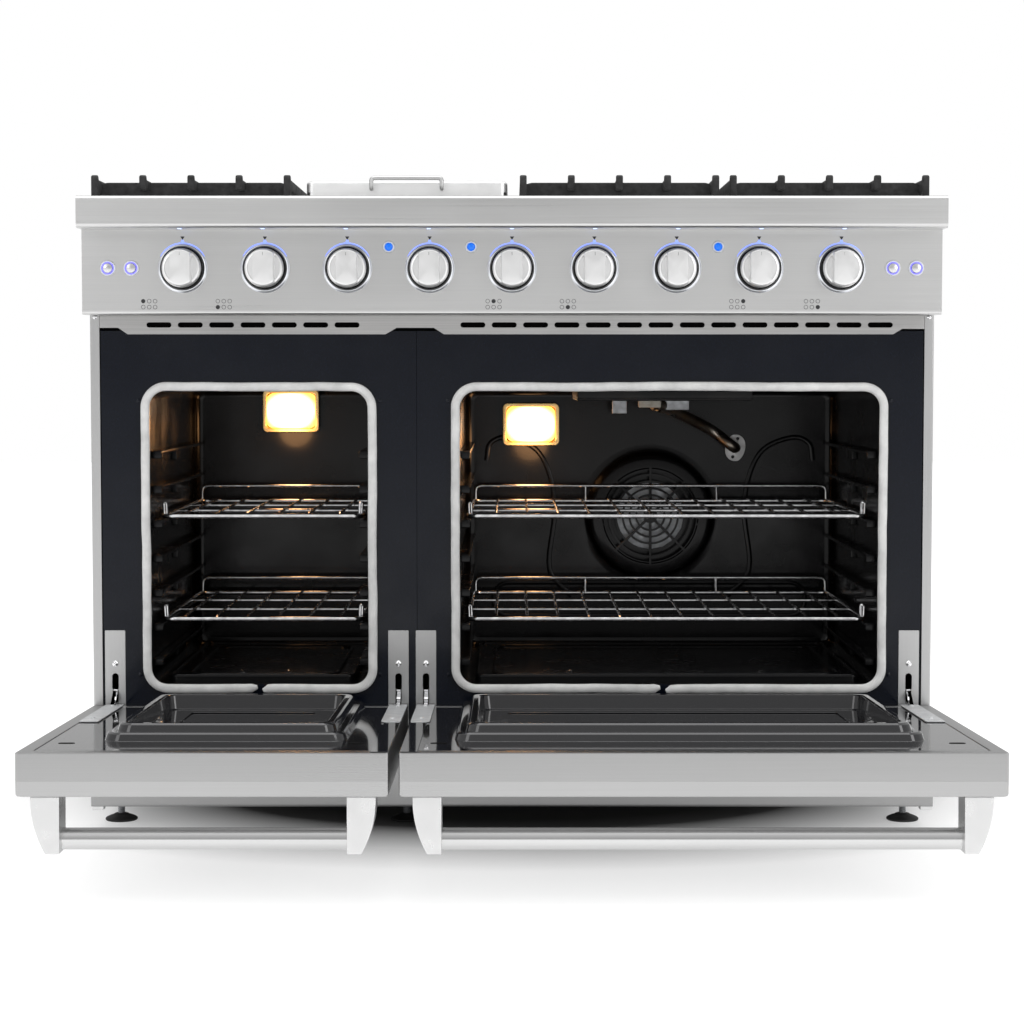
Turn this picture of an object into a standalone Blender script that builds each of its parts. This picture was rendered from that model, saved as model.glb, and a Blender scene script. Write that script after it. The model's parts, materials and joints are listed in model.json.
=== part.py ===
"""Freestanding gas range, 48 inches wide, with two ovens, six burners and a griddle.

Metres, +X right as seen from the front, -Y towards the cook, +Z up. The origin is on the floor, in the
middle of the box that the range fills with both doors open. Inside the script, y = 0 is the front plane
of the body, and every piece hangs from an empty that carries that plane to its place.
"""
import math

import bmesh
import bpy
from mathutils import Matrix, Vector

# ---- Driving dimensions: the body ----
WIDTH = 1.216                # over the side panels
BODY_DEPTH = 0.615           # front plane to back panel
BASE_HEIGHT = 0.038          # floor to the underside of the base pan
KICK_HEIGHT = 0.080          # kick panel
KICK_PROUD = 0.037           # kick panel in front of the front plane
PANEL_HEIGHT = 0.119         # control panel
PANEL_PROUD = 0.059          # control panel in front of the front plane
RAIL_HEIGHT = 0.043          # front rail of the cooktop
RAIL_PROUD = 0.103           # front rail in front of the front plane
RAIL_DEPTH = 0.063           # front rail, front to back
SHEET = 0.0012               # steel sheet
SIDE_RETURN = 0.014          # front and back returns of a side panel
LEFT_BAY = 0.4565            # from the left side panel's return to the seam between the ovens
GAP = 0.0003                 # between pieces that touch
BAY_GAP = 0.0015             # oven front frame to the side panel's return
TRIM_HEIGHT = 0.028          # vent trim above the oven fronts
TRIM_OVERLAP = 0.005         # vent trim over the oven fronts
VENT_LENGTH = 0.036
VENT_HEIGHT = 0.0076
VENT_RISE = 0.0098           # vents above the trim's lower edge
VENT_PITCH = 0.0451
LEFT_VENTS = 7
LEFT_VENT_SHIFT = 0.015      # first vent's centre from the left oven's left wall
RIGHT_VENTS = 14
RIGHT_VENT_SHIFT = 0.0197    # first vent's centre from the right oven's left wall
CUT = 0.010                  # how far a cutter reaches past the sheet that it cuts

# ---- Driving dimensions: doors ----
HINGE_HEIGHT = 0.190         # hinge axis above the floor
DOOR_HEIGHT = 0.549
DOOR_LIFT = 0.002            # lower edge of a closed door above the hinge axis
DOOR_THICKNESS = 0.0555
DOOR_STANDOFF = 0.0105       # inner face of a closed door in front of the front plane
DOOR_OPEN = math.radians(88)
LEFT_DOOR_WIDTH = 0.457
DOOR_GAP = 0.0125            # between the two doors
PANEL_GAP = 0.004            # closed door to the control panel
DOOR_LIP = 0.019             # return of the outer shell around the inner panel
LIP_GAP = 0.0008             # inner panel to the return
LIP_CORNER = 0.004           # corner radius of the inner panel and of its opening
WINDOW_RAISE = 0.011         # each of the two steps of the window frame
WINDOW_STEP = 0.014          # width of each step
WINDOW_FLANK = 0.003         # run of each sloping flank
WINDOW_CORNER = 0.020        # corner radius of the frame
WINDOW_BAND = 0.040          # flat band between the steps and the glass
WINDOW_SIDE = 0.003          # window frame inside the oven's side walls
WINDOW_FOOT = 0.026          # window frame above the hinge axis
WINDOW_HEAD = 0.008          # window frame below the oven's ceiling
GLASS = 0.004
GLASS_OVERLAP = 0.008        # pane behind the panel, round its opening
HANDLE_BAR = 0.0137          # radius
HANDLE_REACH = 0.072         # bracket, out of the door
HANDLE_STANDOFF = 0.0555     # bar centre, out of the door
BRACKET_WIDTH = 0.036
BRACKET_TIP = 0.018          # how much narrower the bracket is at its tip
BRACKET_HEIGHT = 0.045
BRACKET_INSET = 0.016        # bracket inside the door's side edge
BRACKET_DROP = 0.012         # bracket below the door's upper edge
BRACKET_CURVE = 2.2          # power that its outer side curves with
BAR_OVERLAP = 0.004          # bar's ends inside the brackets
ARM_WIDTH = 0.0074           # hinge arm
ARM_SLOT_GAP = 0.0004        # hinge arm to its slot, each side
ARM_INSET = 0.0325           # outer hinge arm's centre inside the door's side edge
ARM_SEAM_INSET = 0.0137      # the same for the arm by the seam
ARM_CLAW = 0.0127            # the claw's lowest point, behind the front plane
ARM_LEAF = 0.051             # top of its leaf above the hinge axis
SLOT_HEIGHT = 0.060
SLOT_DROP = 0.024            # slot's lower end below the hinge axis

# ---- Driving dimensions: ovens ----
LEFT_STILE = 0.071           # outer frame width beside the left oven
LEFT_OVEN_WIDTH = 0.316
RIGHT_STILE = 0.064          # outer frame width beside the right oven
CENTRE_STILE = 0.0615        # seam to the right oven
OVEN_SILL = 0.020            # oven floor above the hinge axis
OVEN_HEAD = 0.105            # oven ceiling below the doors' upper edge
OVEN_REAR = 0.125            # oven back wall to the back panel
OVEN_CORNER = 0.020          # corner radius of the oven mouth
GASKET_WIDTH = 0.013
GASKET_DEPTH = 0.0097
GASKET_CORNER = 0.026
RIB_COUNT = 7
RIB_PITCH = 0.0503
RIB_FIRST = 0.0367           # lowest rib's top above the oven floor
RIB_WIDTH = 0.016
RIB_HEIGHT = 0.006
RIB_FRONT = 0.020            # ribs from the front plane
RIB_REAR = 0.015             # ribs from the back wall
FLOOR_RISE = 0.012
FLOOR_MARGIN = 0.002         # floor plate clear of the rounded corner
FLOOR_REAR = 0.040           # floor plate to the back wall
RACK_LEVELS = (1, 4)         # the ribs that carry racks, counted from 0
RACK_MARGIN = 0.009          # rack to the oven wall
RACK_FRONT = 0.033           # rack's front bar behind the front plane
RACK_REAR = 0.030            # rack's rear bar to the back wall
RACK_ROD = 0.0036            # radius of the frame rods
RACK_CROSS = 0.0032          # radius of the cross rods
RACK_WIRE = 0.0024           # radius of the wires and of the rear stop
RACK_POST_INSET = 0.014      # rear stop's legs inside the side rods
RACK_END = 0.0005            # ends of the wires inside the frame rods
RACK_PITCH = 0.0455
RACK_RAIL_RISE = 0.028
LAMP_SIZE = (0.0935, 0.026, 0.071)
LAMP_CORNER = 0.006
LEFT_LAMP_SHIFT = 0.002      # lamp centre from the middle of the left oven
LEFT_LAMP_DROP = 0.037       # lamp centre below the ceiling
RIGHT_LAMP_DROP = 0.059
RIGHT_LAMP_SIDE = 0.107      # lamp centre from the right oven's left wall
FAN_RADIUS = 0.070
FAN_HUB = 0.016              # radius
FAN_DISC = 0.056             # radius
FAN_THICKNESS = 0.012
FAN_SKIN = 0.0012
FAN_BLADES = 8
BLADE_START = 0.030          # inner end of a blade from the axis
FAN_COVER_RADIUS = 0.1165
FAN_COVER_DEPTH = 0.026
FAN_COVER_RIM = 0.012        # flat rim round the dished part, outside and inside
FAN_OPENING = 0.079
FAN_GRILLE_BARS = 4
FAN_BAR = 0.003              # width
FAN_BAR_SKIN = 0.0002        # bars inside each face of the cover
FAN_SHAFT = 0.004
SHAFT_NOSE = 0.0008          # shaft's end behind the cover's front skin
FAN_SETBACK = 0.001          # fan behind the middle of its cover
FAN_RISE = 0.004             # fan axis above the middle of the oven
MOTOR_RADIUS = 0.034
MOTOR_LENGTH = 0.060
BROILER_SIZE = (0.260, 0.300, 0.016)
BROILER_FRONT = 0.100
BROILER_TUBE = 0.009         # radius
BROILER_TUBE_REAR = 0.180    # start of its tube behind the broiler's front
SOCKET_SIZE = (0.032, 0.030, 0.012)
FLANGE_SIZE = (0.028, 0.003, 0.040)
FLANGE_SIDE = 0.162          # broiler's gas flange from the right wall
FLANGE_DROP = 0.098          # and below the ceiling

# ---- Driving dimensions: cooktop ----
WELL_DEPTH = 0.0145          # tray floor below the rail's top
TRAY_REAR = 0.015            # rear rim of the tray
GRIDDLE_STATION = 1
STATION_WIDTH = 0.284
STATION_GAPS = (0.009, 0.023, 0.019, 0.015)
STATION_FRONT = -0.030
STATION_REAR_MARGIN = 0.055  # stations end in front of the back panel
GRATE_RISE = 0.0497          # posts above the tray floor
GRATE_BAR = 0.010
GRATE_DECK = 0.006           # bar tops below the posts
GRATE_BAR_HEIGHT = 0.013
GRATE_POST = 0.010           # length of a post at the end of a side bar
GRATE_FOOT = 0.014           # length of a foot at the end of a side bar
GRATE_SIDE_EXTRA = 0.004     # side bars deeper than the rest
GRATE_CROSS_DROP = 0.002     # cross bars below the deck
GRATE_CROSS_EXTRA = 0.010    # and deeper than the rest
GRATE_CROSS_INSET = 0.040    # outer cross bars from the grate's ends
GRATE_FINGER = 0.020         # fingers past the second bar, towards the burner
BURNER_FRONT = 0.115
BURNER_PITCH = 0.300         # front burner to rear burner
BURNER_BASE = 0.050          # radius
BURNER_CAP = 0.034           # radius
BURNER_NECK = 0.026          # radius, through the tray
BURNER_HEIGHT = 0.027
BURNER_RINGS = (0.006, 0.012, 0.023)    # base edge, cap's lower edge, cap's upper edge
BURNER_CHAMFER = 0.004
BURNER_DEPTH = 0.034         # neck below the tray floor
NECK_CLEARANCE = 0.001
BURNER_CLEAR = 0.002         # bars to the burner's base
TUBE = 0.006                 # gas tube radius
TUBE_RISE = 0.010            # gas tube above the neck's lower end
GRIDDLE_LEG = 0.010
GRIDDLE_LEG_WIDTH = 0.016
GRIDDLE_LEG_INSET = 0.020
GRIDDLE_SETBACK = 0.010      # griddle behind the grates' front ends
GRIDDLE_PLATE = 0.010
GRIDDLE_WALL = 0.008
GRIDDLE_RIM = 0.006
COVER_HEIGHT = 0.016         # lid above the griddle's rim
COVER_HANDLE = 0.100
COVER_ROD = 0.0032
COVER_ROD_OUT = 0.012        # rod in front of the lid
COVER_ROD_RISE = 0.004       # rod's ends above the lid's lower edge
COVER_ROD_ROOT = 0.0008      # rod's ends into the lid

# ---- Driving dimensions: controls ----
KNOB_COUNT = 9
KNOB_PITCH = 0.1163
KNOB_RISE = 0.064            # knob axis above the panel's lower edge
KNOB_RADIUS = 0.0305
KNOB_FACE = 0.0275
KNOB_DEPTH = 0.034
KNOB_SKIRT = 0.006
KNOB_LIFT = 0.0004           # skirt off the panel
KNOB_DRAFT = 0.0005          # how much the body widens to the skirt
GRIP_PROUD = 0.004           # grip bar in front of the knob's face
GRIP_ROOT = 0.012            # where the grip bar starts, off the panel
GRIP_INSET = 0.0065          # its ends inside the face
GRIP_WIDTH = 0.035
KNOB_SHAFT = 0.004
SHAFT_CLEARANCE = 0.0005
BUTTON_RADIUS = 0.0085
BUTTON_CLEARANCE = 0.0005
BUTTON_PROUD = 0.005
BUTTON_CHAMFER = 0.0015
BUTTON_TAIL = 0.009
BUTTONS = (-0.571, -0.538, 0.538, 0.571)
INDICATOR_RADIUS = 0.0065
INDICATOR_KNOBS = (2, 3, 6)
INDICATOR_OFFSET = (0.0585, 0.030)
MANIFOLD = 0.010             # pipe radius
MANIFOLD_BEHIND = 0.030      # pipe centre behind the panel's face
MANIFOLD_END = 0.035         # closed end past the first knob
INLET_INSET = 0.045          # gas inlet inside the right side
INLET_CLEARANCE = 0.0006
VALVE = 0.013                # valve radius
VALVE_OVERLAP = 0.003        # valve into the manifold pipe
FOOT_RADIUS = 0.024
FOOT_STEM = 0.006
FOOT_PAD = 0.010
FOOT_SHOULDER = 0.014        # radius of the pad's crown
FOOT_DOME = 0.005            # crown up to the stem
FOOT_SIDE = 0.029            # foot centre inside the side panel
FOOT_FRONT = 0.063           # foot centre behind the front plane
FOOT_MIDDLE = -0.156
ROUND = 16                   # sides of a round piece
SMALL_ROUND = 10             # sides of a small hole or shaft
KNOB_NAMES = ("rear_left_burner_knob", "front_left_burner_knob", "left_oven_knob", "griddle_knob",
              "rear_middle_burner_knob", "front_middle_burner_knob", "right_oven_knob",
              "rear_right_burner_knob", "front_right_burner_knob")
BUTTON_NAMES = ("left_oven_light_button", "panel_light_button", "right_oven_light_button",
                "convection_fan_button")
BURNER_NAMES = ("left_burner_pair", "middle_burner_pair", "right_burner_pair")
GRATE_NAMES = ("left_grate", "middle_grate", "right_grate")

# ---- Places that follow from them ----
HALF = WIDTH / 2
INNER = HALF - SHEET - GAP
KICK_TOP = BASE_HEIGHT + KICK_HEIGHT
DOOR_TOP = HINGE_HEIGHT + DOOR_LIFT + DOOR_HEIGHT
PANEL_BOTTOM = DOOR_TOP + PANEL_GAP
RAIL_BOTTOM = PANEL_BOTTOM + PANEL_HEIGHT
RAIL_TOP = RAIL_BOTTOM + RAIL_HEIGHT
TRAY_FLOOR = RAIL_TOP - WELL_DEPTH
OVEN_BOTTOM = HINGE_HEIGHT + OVEN_SILL
OVEN_TOP = DOOR_TOP - OVEN_HEAD
OVEN_DEPTH = BODY_DEPTH - OVEN_REAR
SEAM = -HALF + SIDE_RETURN + LEFT_BAY
LEFT_OVEN = (-HALF + SIDE_RETURN + LEFT_STILE, -HALF + SIDE_RETURN + LEFT_STILE + LEFT_OVEN_WIDTH)
RIGHT_OVEN = (SEAM + CENTRE_STILE, HALF - SIDE_RETURN - RIGHT_STILE)
LEFT_DOOR = (-HALF, -HALF + LEFT_DOOR_WIDTH)
RIGHT_DOOR = (LEFT_DOOR[1] + DOOR_GAP, HALF)
STATION_REAR = BODY_DEPTH - STATION_REAR_MARGIN
KNOB_HEIGHT = PANEL_BOTTOM + KNOB_RISE
TRIM_BOTTOM = PANEL_BOTTOM - GAP - TRIM_HEIGHT
OUTER_FACE = -DOOR_STANDOFF - DOOR_THICKNESS
DOOR_REACH = (DOOR_LIFT + DOOR_HEIGHT) * math.sin(DOOR_OPEN) - OUTER_FACE * math.cos(DOOR_OPEN)
FRONT_Y = (DOOR_REACH - BODY_DEPTH) / 2
ARM_SLOT = ARM_WIDTH + 2 * ARM_SLOT_GAP
SLOT_BOTTOM = HINGE_HEIGHT - SLOT_DROP
BAY_EDGE = HALF - SIDE_RETURN - BAY_GAP
FAN_X = (RIGHT_OVEN[0] + RIGHT_OVEN[1]) / 2
FAN_Z = (OVEN_BOTTOM + OVEN_TOP) / 2 + FAN_RISE
FLANGE_X = RIGHT_OVEN[1] - FLANGE_SIDE
FLANGE_Z = OVEN_TOP - FLANGE_DROP
INLET_X = HALF - INLET_INSET
MANIFOLD_Y = -PANEL_PROUD + MANIFOLD_BEHIND

FINISHES = {
    "stainless": ((0.62, 0.62, 0.61), 0.32, 1.0),
    "polished": ((0.80, 0.80, 0.80), 0.10, 1.0),
    "galvanised": ((0.50, 0.51, 0.52), 0.50, 1.0),
    "enamel": ((0.006, 0.008, 0.014), 0.12, 0.0),
    "cast_iron": ((0.022, 0.022, 0.023), 0.70, 0.0),
    "aluminium": ((0.55, 0.55, 0.55), 0.45, 1.0),
    "rope": ((0.42, 0.42, 0.41), 0.90, 0.0),
    "glass": ((0.03, 0.03, 0.03), 0.05, 0.0),
    "lens": ((1.00, 0.75, 0.40), 0.15, 0.0),
    "rubber": ((0.015, 0.015, 0.015), 0.60, 0.0),
}


# ---- Scene, materials and placing ----
def empty_scene():
    for item in list(bpy.data.objects):
        bpy.data.objects.remove(item, do_unlink=True)


def new_collection(name):
    group = bpy.data.collections.new(name)
    bpy.context.scene.collection.children.link(group)
    return group


def new_finish(name):
    colour, roughness, metallic = FINISHES[name]
    finish = bpy.data.materials.new(name)
    finish.use_nodes = True
    shader = finish.node_tree.nodes["Principled BSDF"]
    shader.inputs["Base Color"].default_value = (*colour, 1.0)
    shader.inputs["Roughness"].default_value = roughness
    shader.inputs["Metallic"].default_value = metallic
    return finish


def new_empty(name, location, parent=None):
    empty = bpy.data.objects.new(name, None)
    empty.location = location
    empty.parent = parent
    RANGE.objects.link(empty)
    return empty


def new_object(name, mesh):
    """A loose working solid, in the cutters' collection until it is kept as a piece."""
    item = bpy.data.objects.new(name, mesh)
    CUTTERS.objects.link(item)
    item.hide_render = True
    item.display_type = "WIRE"
    return item


def keep(item, finish, parent=None, location=(0, 0, 0), smooth=False):
    """Turn a working solid into a named piece of the range, with the solids that cut or join it."""
    own = MATERIALS[finish].copy()
    own.name = item.name + "_" + finish
    item.data.materials.clear()
    item.data.materials.append(own)
    CUTTERS.objects.unlink(item)
    RANGE.objects.link(item)
    item.hide_render = False
    item.display_type = "TEXTURED"
    if smooth:
        item.data.shade_smooth()
        item.data.set_sharp_from_angle(angle=math.radians(35))
    tools = [step.object for step in item.modifiers if step.type == "BOOLEAN"]
    for thing in [item] + tools:
        thing.parent = parent or BODY
        thing.location = location
    return item


# ---- Modelling tools ----
def mesh_from(name, shape):
    bmesh.ops.recalc_face_normals(shape, faces=shape.faces)
    mesh = bpy.data.meshes.new(name)
    shape.to_mesh(mesh)
    shape.free()
    return new_object(name, mesh)


def blocks(name, corners, bevel=0.0, axis=None, steps=3):
    """Boxes given by their low and high corners; bevel rounds the edges that run along axis."""
    shape = bmesh.new()
    for low, high in corners:
        low, high = Vector(low), Vector(high)
        size = high - low
        place = Matrix.Translation((low + high) / 2) @ Matrix.Diagonal((*size, 1.0))
        bmesh.ops.create_cube(shape, size=1.0, matrix=place)
    if bevel:
        along = [edge for edge in shape.edges if runs_along(edge, axis)]
        bmesh.ops.bevel(shape, geom=along, offset=bevel, segments=steps, profile=0.5, affect="EDGES")
    return mesh_from(name, shape)


def runs_along(edge, axis):
    way = edge.verts[1].co - edge.verts[0].co
    return axis is None or abs(way[axis]) > 0.999 * way.length


def rods(name, spans, sides=ROUND):
    """Round bars along X, Y or Z: (start, end, radius) for each."""
    shape = bmesh.new()
    for start, end, radius in spans:
        start, end = Vector(start), Vector(end)
        turn = (end - start).to_track_quat("Z", "Y").to_matrix().to_4x4()
        place = Matrix.Translation((start + end) / 2) @ turn
        bmesh.ops.create_cone(shape, cap_ends=True, segments=sides, radius1=radius, radius2=radius,
                              depth=(end - start).length, matrix=place)
    return mesh_from(name, shape)


def mesh_from_curve(name, curve, place=Matrix()):
    """Evaluate a curve, weld its caps and put it where it belongs."""
    guide = bpy.data.objects.new(name + "_curve", curve)
    CUTTERS.objects.link(guide)
    view = bpy.context.evaluated_depsgraph_get()
    mesh = bpy.data.meshes.new_from_object(guide.evaluated_get(view))
    shape = bmesh.new()
    shape.from_mesh(mesh)
    bmesh.ops.remove_doubles(shape, verts=shape.verts, dist=0.00005)
    bmesh.ops.transform(shape, matrix=place, verts=shape.verts)
    bpy.data.objects.remove(guide, do_unlink=True)
    return mesh_from(name, shape)


def wires(name, paths, radius, resolution=1):
    curve = bpy.data.curves.new(name, "CURVE")
    curve.dimensions = "3D"
    curve.bevel_depth = radius
    curve.bevel_resolution = resolution
    curve.use_fill_caps = True
    for path in paths:
        line = curve.splines.new("POLY")
        line.points.add(len(path) - 1)
        for point, place in zip(line.points, path):
            point.co = (*place, 1.0)
    return mesh_from_curve(name, curve)


def outline(name, loops, thickness, place=Matrix()):
    """A flat outline with any holes, drawn in its own XY plane, half its thickness to each side."""
    curve = bpy.data.curves.new(name, "CURVE")
    curve.dimensions = "2D"
    curve.fill_mode = "BOTH"
    curve.extrude = thickness / 2
    for loop in loops:
        line = curve.splines.new("POLY")
        line.use_cyclic_u = True
        line.points.add(len(loop) - 1)
        for point, (u, v) in zip(line.points, loop):
            point.co = (u, v, 0.0, 1.0)
    return mesh_from_curve(name, curve, place)


def across(x):
    """Carries a drawing of (y, z) to the plane at x."""
    return Matrix(((0, 0, 1, x), (1, 0, 0, 0), (0, 1, 0, 0), (0, 0, 0, 1)))


def facing(y):
    """Carries a drawing of (x, z) to the plane at y."""
    return Matrix(((1, 0, 0, 0), (0, 0, -1, y), (0, 1, 0, 0), (0, 0, 0, 1)))


def level(z):
    """Carries a drawing of (x, y) to the height z."""
    return Matrix.Translation((0, 0, z))


def folded(name, line, low, high, thickness=SHEET, axis=0, side=-1.0):
    """Bent sheet: a line of (y, z) or (x, y) points, swept along axis and thickened to one side."""
    shape = bmesh.new()
    starts = [shape.verts.new(swept(point, low, axis)) for point in line]
    edges = [shape.edges.new(pair) for pair in zip(starts, starts[1:])]
    grown = bmesh.ops.extrude_edge_only(shape, edges=edges)
    moved = [item for item in grown["geom"] if isinstance(item, bmesh.types.BMVert)]
    shift = Vector((0, 0, 0))
    shift[axis] = high - low
    bmesh.ops.translate(shape, vec=shift, verts=moved)
    sheet = mesh_from(name, shape)
    thicken(sheet, thickness, side)
    return sheet


def swept(point, along, axis):
    if axis == 0:
        return (along, *point)
    return (*point, along)


def thicken(item, thickness, side=-1.0):
    solid = item.modifiers.new("Sheet", "SOLIDIFY")
    solid.thickness = thickness
    solid.offset = side
    solid.use_even_offset = True


def turned(name, profile, sides=ROUND, ring=False):
    """A turned solid about Z; the profile of (radius, height) runs down from the top, or round a ring."""
    mesh = bpy.data.meshes.new(name)
    corners = [(radius, 0.0, height) for radius, height in profile]
    edges = [(i, i + 1) for i in range(len(corners) - 1)]
    if ring:
        edges.append((len(corners) - 1, 0))
    mesh.from_pydata(corners, edges, [])
    item = new_object(name, mesh)
    screw = item.modifiers.new("Turn", "SCREW")
    screw.steps = sides
    screw.render_steps = sides
    screw.use_merge_vertices = True
    screw.merge_threshold = 0.00005
    return item


def solid_copy(item):
    """Make the modifiers real, so that the solid can be turned or joined in its own mesh."""
    view = bpy.context.evaluated_depsgraph_get()
    mesh = bpy.data.meshes.new_from_object(item.evaluated_get(view))
    name = item.name
    bpy.data.objects.remove(item, do_unlink=True)
    return new_object(name, mesh)


def towards_front(item):
    """Turn a piece made about +Z so that +Z points to the cook."""
    item = solid_copy(item)
    item.data.transform(Matrix.Rotation(math.radians(90), 4, "X"))
    return item


def combine(item, tool, operation):
    step = item.modifiers.new(operation.title(), "BOOLEAN")
    step.operation = operation
    step.solver = "EXACT"
    step.object = tool
    tool.name = item.name + "_" + tool.name
    return item


def cut(item, tool):
    return combine(item, tool, "DIFFERENCE")


def unite(item, tool):
    return combine(item, tool, "UNION")


def rounded_loop(low, high, radius, steps=5):
    """Corner points of a rounded rectangle, anticlockwise."""
    centres = ((high[0] - radius, high[1] - radius, 0), (low[0] + radius, high[1] - radius, 90),
               (low[0] + radius, low[1] + radius, 180), (high[0] - radius, low[1] + radius, 270))
    points = []
    for u, v, start in centres:
        for step in range(steps + 1):
            angle = math.radians(start + 90 * step / steps)
            points.append((u + radius * math.cos(angle), v + radius * math.sin(angle)))
    return points


# ---- Body ----
def make_chassis():
    """Kick panel, base pan and back panel, folded from one sheet."""
    line = [(-GAP, KICK_TOP), (-KICK_PROUD, KICK_TOP), (-KICK_PROUD, BASE_HEIGHT),
            (BODY_DEPTH, BASE_HEIGHT), (BODY_DEPTH, RAIL_BOTTOM - GAP)]
    chassis = folded("chassis", line, -INNER, INNER)
    inlet = rods("inlet_hole", [((INLET_X, BODY_DEPTH - CUT, KNOB_HEIGHT),
                                 (INLET_X, BODY_DEPTH + CUT, KNOB_HEIGHT), MANIFOLD + INLET_CLEARANCE)])
    return keep(cut(chassis, inlet), "galvanised")


def make_side_panels():
    for name, side in (("left_side_panel", -1), ("right_side_panel", 1)):
        lip = side * (HALF - SIDE_RETURN)
        line = [(lip, 0), (side * HALF, 0), (side * HALF, BODY_DEPTH), (lip, BODY_DEPTH)]
        if side > 0:
            line.reverse()
        low = BASE_HEIGHT + SHEET + GAP
        panel = folded(name, line, low, RAIL_BOTTOM - GAP, axis=2)
        rear = blocks("back_clearance", [((lip - side * CUT, BODY_DEPTH - SHEET - GAP, 0),
                                          (side * (INNER + GAP), BODY_DEPTH + CUT, RAIL_TOP))])
        keep(cut(panel, rear), "stainless")


def make_feet():
    spots = {"front_left_foot": (-HALF + FOOT_SIDE, FOOT_FRONT),
             "front_middle_foot": (FOOT_MIDDLE, FOOT_FRONT),
             "front_right_foot": (HALF - FOOT_SIDE, FOOT_FRONT),
             "rear_left_foot": (-HALF + FOOT_SIDE, BODY_DEPTH - FOOT_FRONT),
             "rear_right_foot": (HALF - FOOT_SIDE, BODY_DEPTH - FOOT_FRONT)}
    top = BASE_HEIGHT - GAP
    profile = [(0, top), (FOOT_STEM, top), (FOOT_STEM, FOOT_PAD + FOOT_DOME), (FOOT_SHOULDER, FOOT_PAD),
               (FOOT_RADIUS, FOOT_PAD / 2), (FOOT_RADIUS, 0), (0, 0)]
    for name, (x, y) in spots.items():
        keep(turned(name, profile, sides=12), "rubber", location=(x, y, 0), smooth=True)


def make_vent_trim():
    """Flat strip with a short row of vents over the left oven and a long one over the right."""
    half = HALF - SIDE_RETURN - GAP
    trim = blocks("vent_trim", [((-half, -GAP - SHEET, TRIM_BOTTOM), (half, -GAP, PANEL_BOTTOM - GAP))])
    low = TRIM_BOTTOM + VENT_RISE
    centres = vent_row(LEFT_OVEN[0] + LEFT_VENT_SHIFT, LEFT_VENTS)
    centres += vent_row(RIGHT_OVEN[0] + RIGHT_VENT_SHIFT, RIGHT_VENTS)
    vents = [((x - VENT_LENGTH / 2, -CUT, low), (x + VENT_LENGTH / 2, CUT, low + VENT_HEIGHT)) for x in centres]
    keep(cut(trim, blocks("vents", vents)), "stainless")


def vent_row(start, count):
    return [start + step * VENT_PITCH for step in range(count)]


# ---- Ovens ----
def make_oven(side, oven, bay, door):
    """Liner, front frame and rack ribs as one enamelled piece."""
    name = side + "_oven_cavity"
    left, right = oven
    back = OVEN_DEPTH
    low = (left - SHEET, 0, OVEN_BOTTOM - SHEET)
    high = (right + SHEET, back + SHEET, OVEN_TOP + SHEET)
    tub = blocks(name, [(low, high)], bevel=OVEN_CORNER + SHEET, axis=1)
    frame = blocks("frame", [((bay[0], 0, KICK_TOP + GAP), (bay[1], SHEET, TRIM_BOTTOM + TRIM_OVERLAP))])
    unite(tub, frame)
    room = blocks("room", [((left, -CUT, OVEN_BOTTOM), (right, back, OVEN_TOP))], bevel=OVEN_CORNER, axis=1)
    cut(tub, room)
    unite(tub, blocks("ribs", oven_ribs(left, right)))
    slots = [((x - ARM_SLOT / 2, -CUT, SLOT_BOTTOM), (x + ARM_SLOT / 2, CUT, SLOT_BOTTOM + SLOT_HEIGHT))
             for x in arm_places(door)]
    cut(tub, blocks("hinge_slots", slots))
    if side == "right":
        add_fan_motor(tub)
        cut(tub, rods("gas_hole", [((FLANGE_X, back - CUT, FLANGE_Z), (FLANGE_X, back + CUT, FLANGE_Z), TUBE)]))
    return keep(tub, "enamel")


def oven_ribs(left, right):
    ribs = []
    for step in range(RIB_COUNT):
        top = OVEN_BOTTOM + RIB_FIRST + step * RIB_PITCH
        for low, high in ((left - SHEET / 2, left + RIB_WIDTH), (right - RIB_WIDTH, right + SHEET / 2)):
            ribs.append(((low, RIB_FRONT, top - RIB_HEIGHT), (high, OVEN_DEPTH - RIB_REAR, top)))
    return ribs


def add_fan_motor(tub):
    """The fan's motor hangs on the outside of the back wall, and its shaft comes through."""
    wall = OVEN_DEPTH + SHEET / 2
    unite(tub, rods("motor", [((FAN_X, wall, FAN_Z), (FAN_X, wall + MOTOR_LENGTH, FAN_Z), MOTOR_RADIUS)]))
    nose = OVEN_DEPTH - FAN_COVER_DEPTH + SHEET + SHAFT_NOSE
    unite(tub, rods("shaft", [((FAN_X, nose, FAN_Z), (FAN_X, wall, FAN_Z), FAN_SHAFT)], sides=SMALL_ROUND))


def make_gasket(side, oven):
    low = Vector((oven[0] - 0.001, OVEN_BOTTOM - 0.001))
    high = Vector((oven[1] + 0.001, OVEN_TOP + 0.001))
    grow = Vector((GASKET_WIDTH, GASKET_WIDTH))
    loops = [rounded_loop(low - grow, high + grow, GASKET_CORNER + GASKET_WIDTH),
             rounded_loop(low, high, GASKET_CORNER)]
    rope = outline(side + "_oven_gasket", loops, GASKET_DEPTH, facing(-GAP - GASKET_DEPTH / 2))
    keep(rope, "rope")


def make_oven_floor(side, oven):
    """Raised floor plate over the bake burner, with its legs folded down."""
    foot = OVEN_BOTTOM + GAP
    top = foot + FLOOR_RISE
    front, rear = RIB_FRONT, OVEN_DEPTH - FLOOR_REAR
    line = [(front, foot), (front, top), (rear, top), (rear, foot)]
    margin = OVEN_CORNER + FLOOR_MARGIN
    keep(folded(side + "_oven_floor", line, oven[0] + margin, oven[1] - margin), "enamel")


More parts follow.
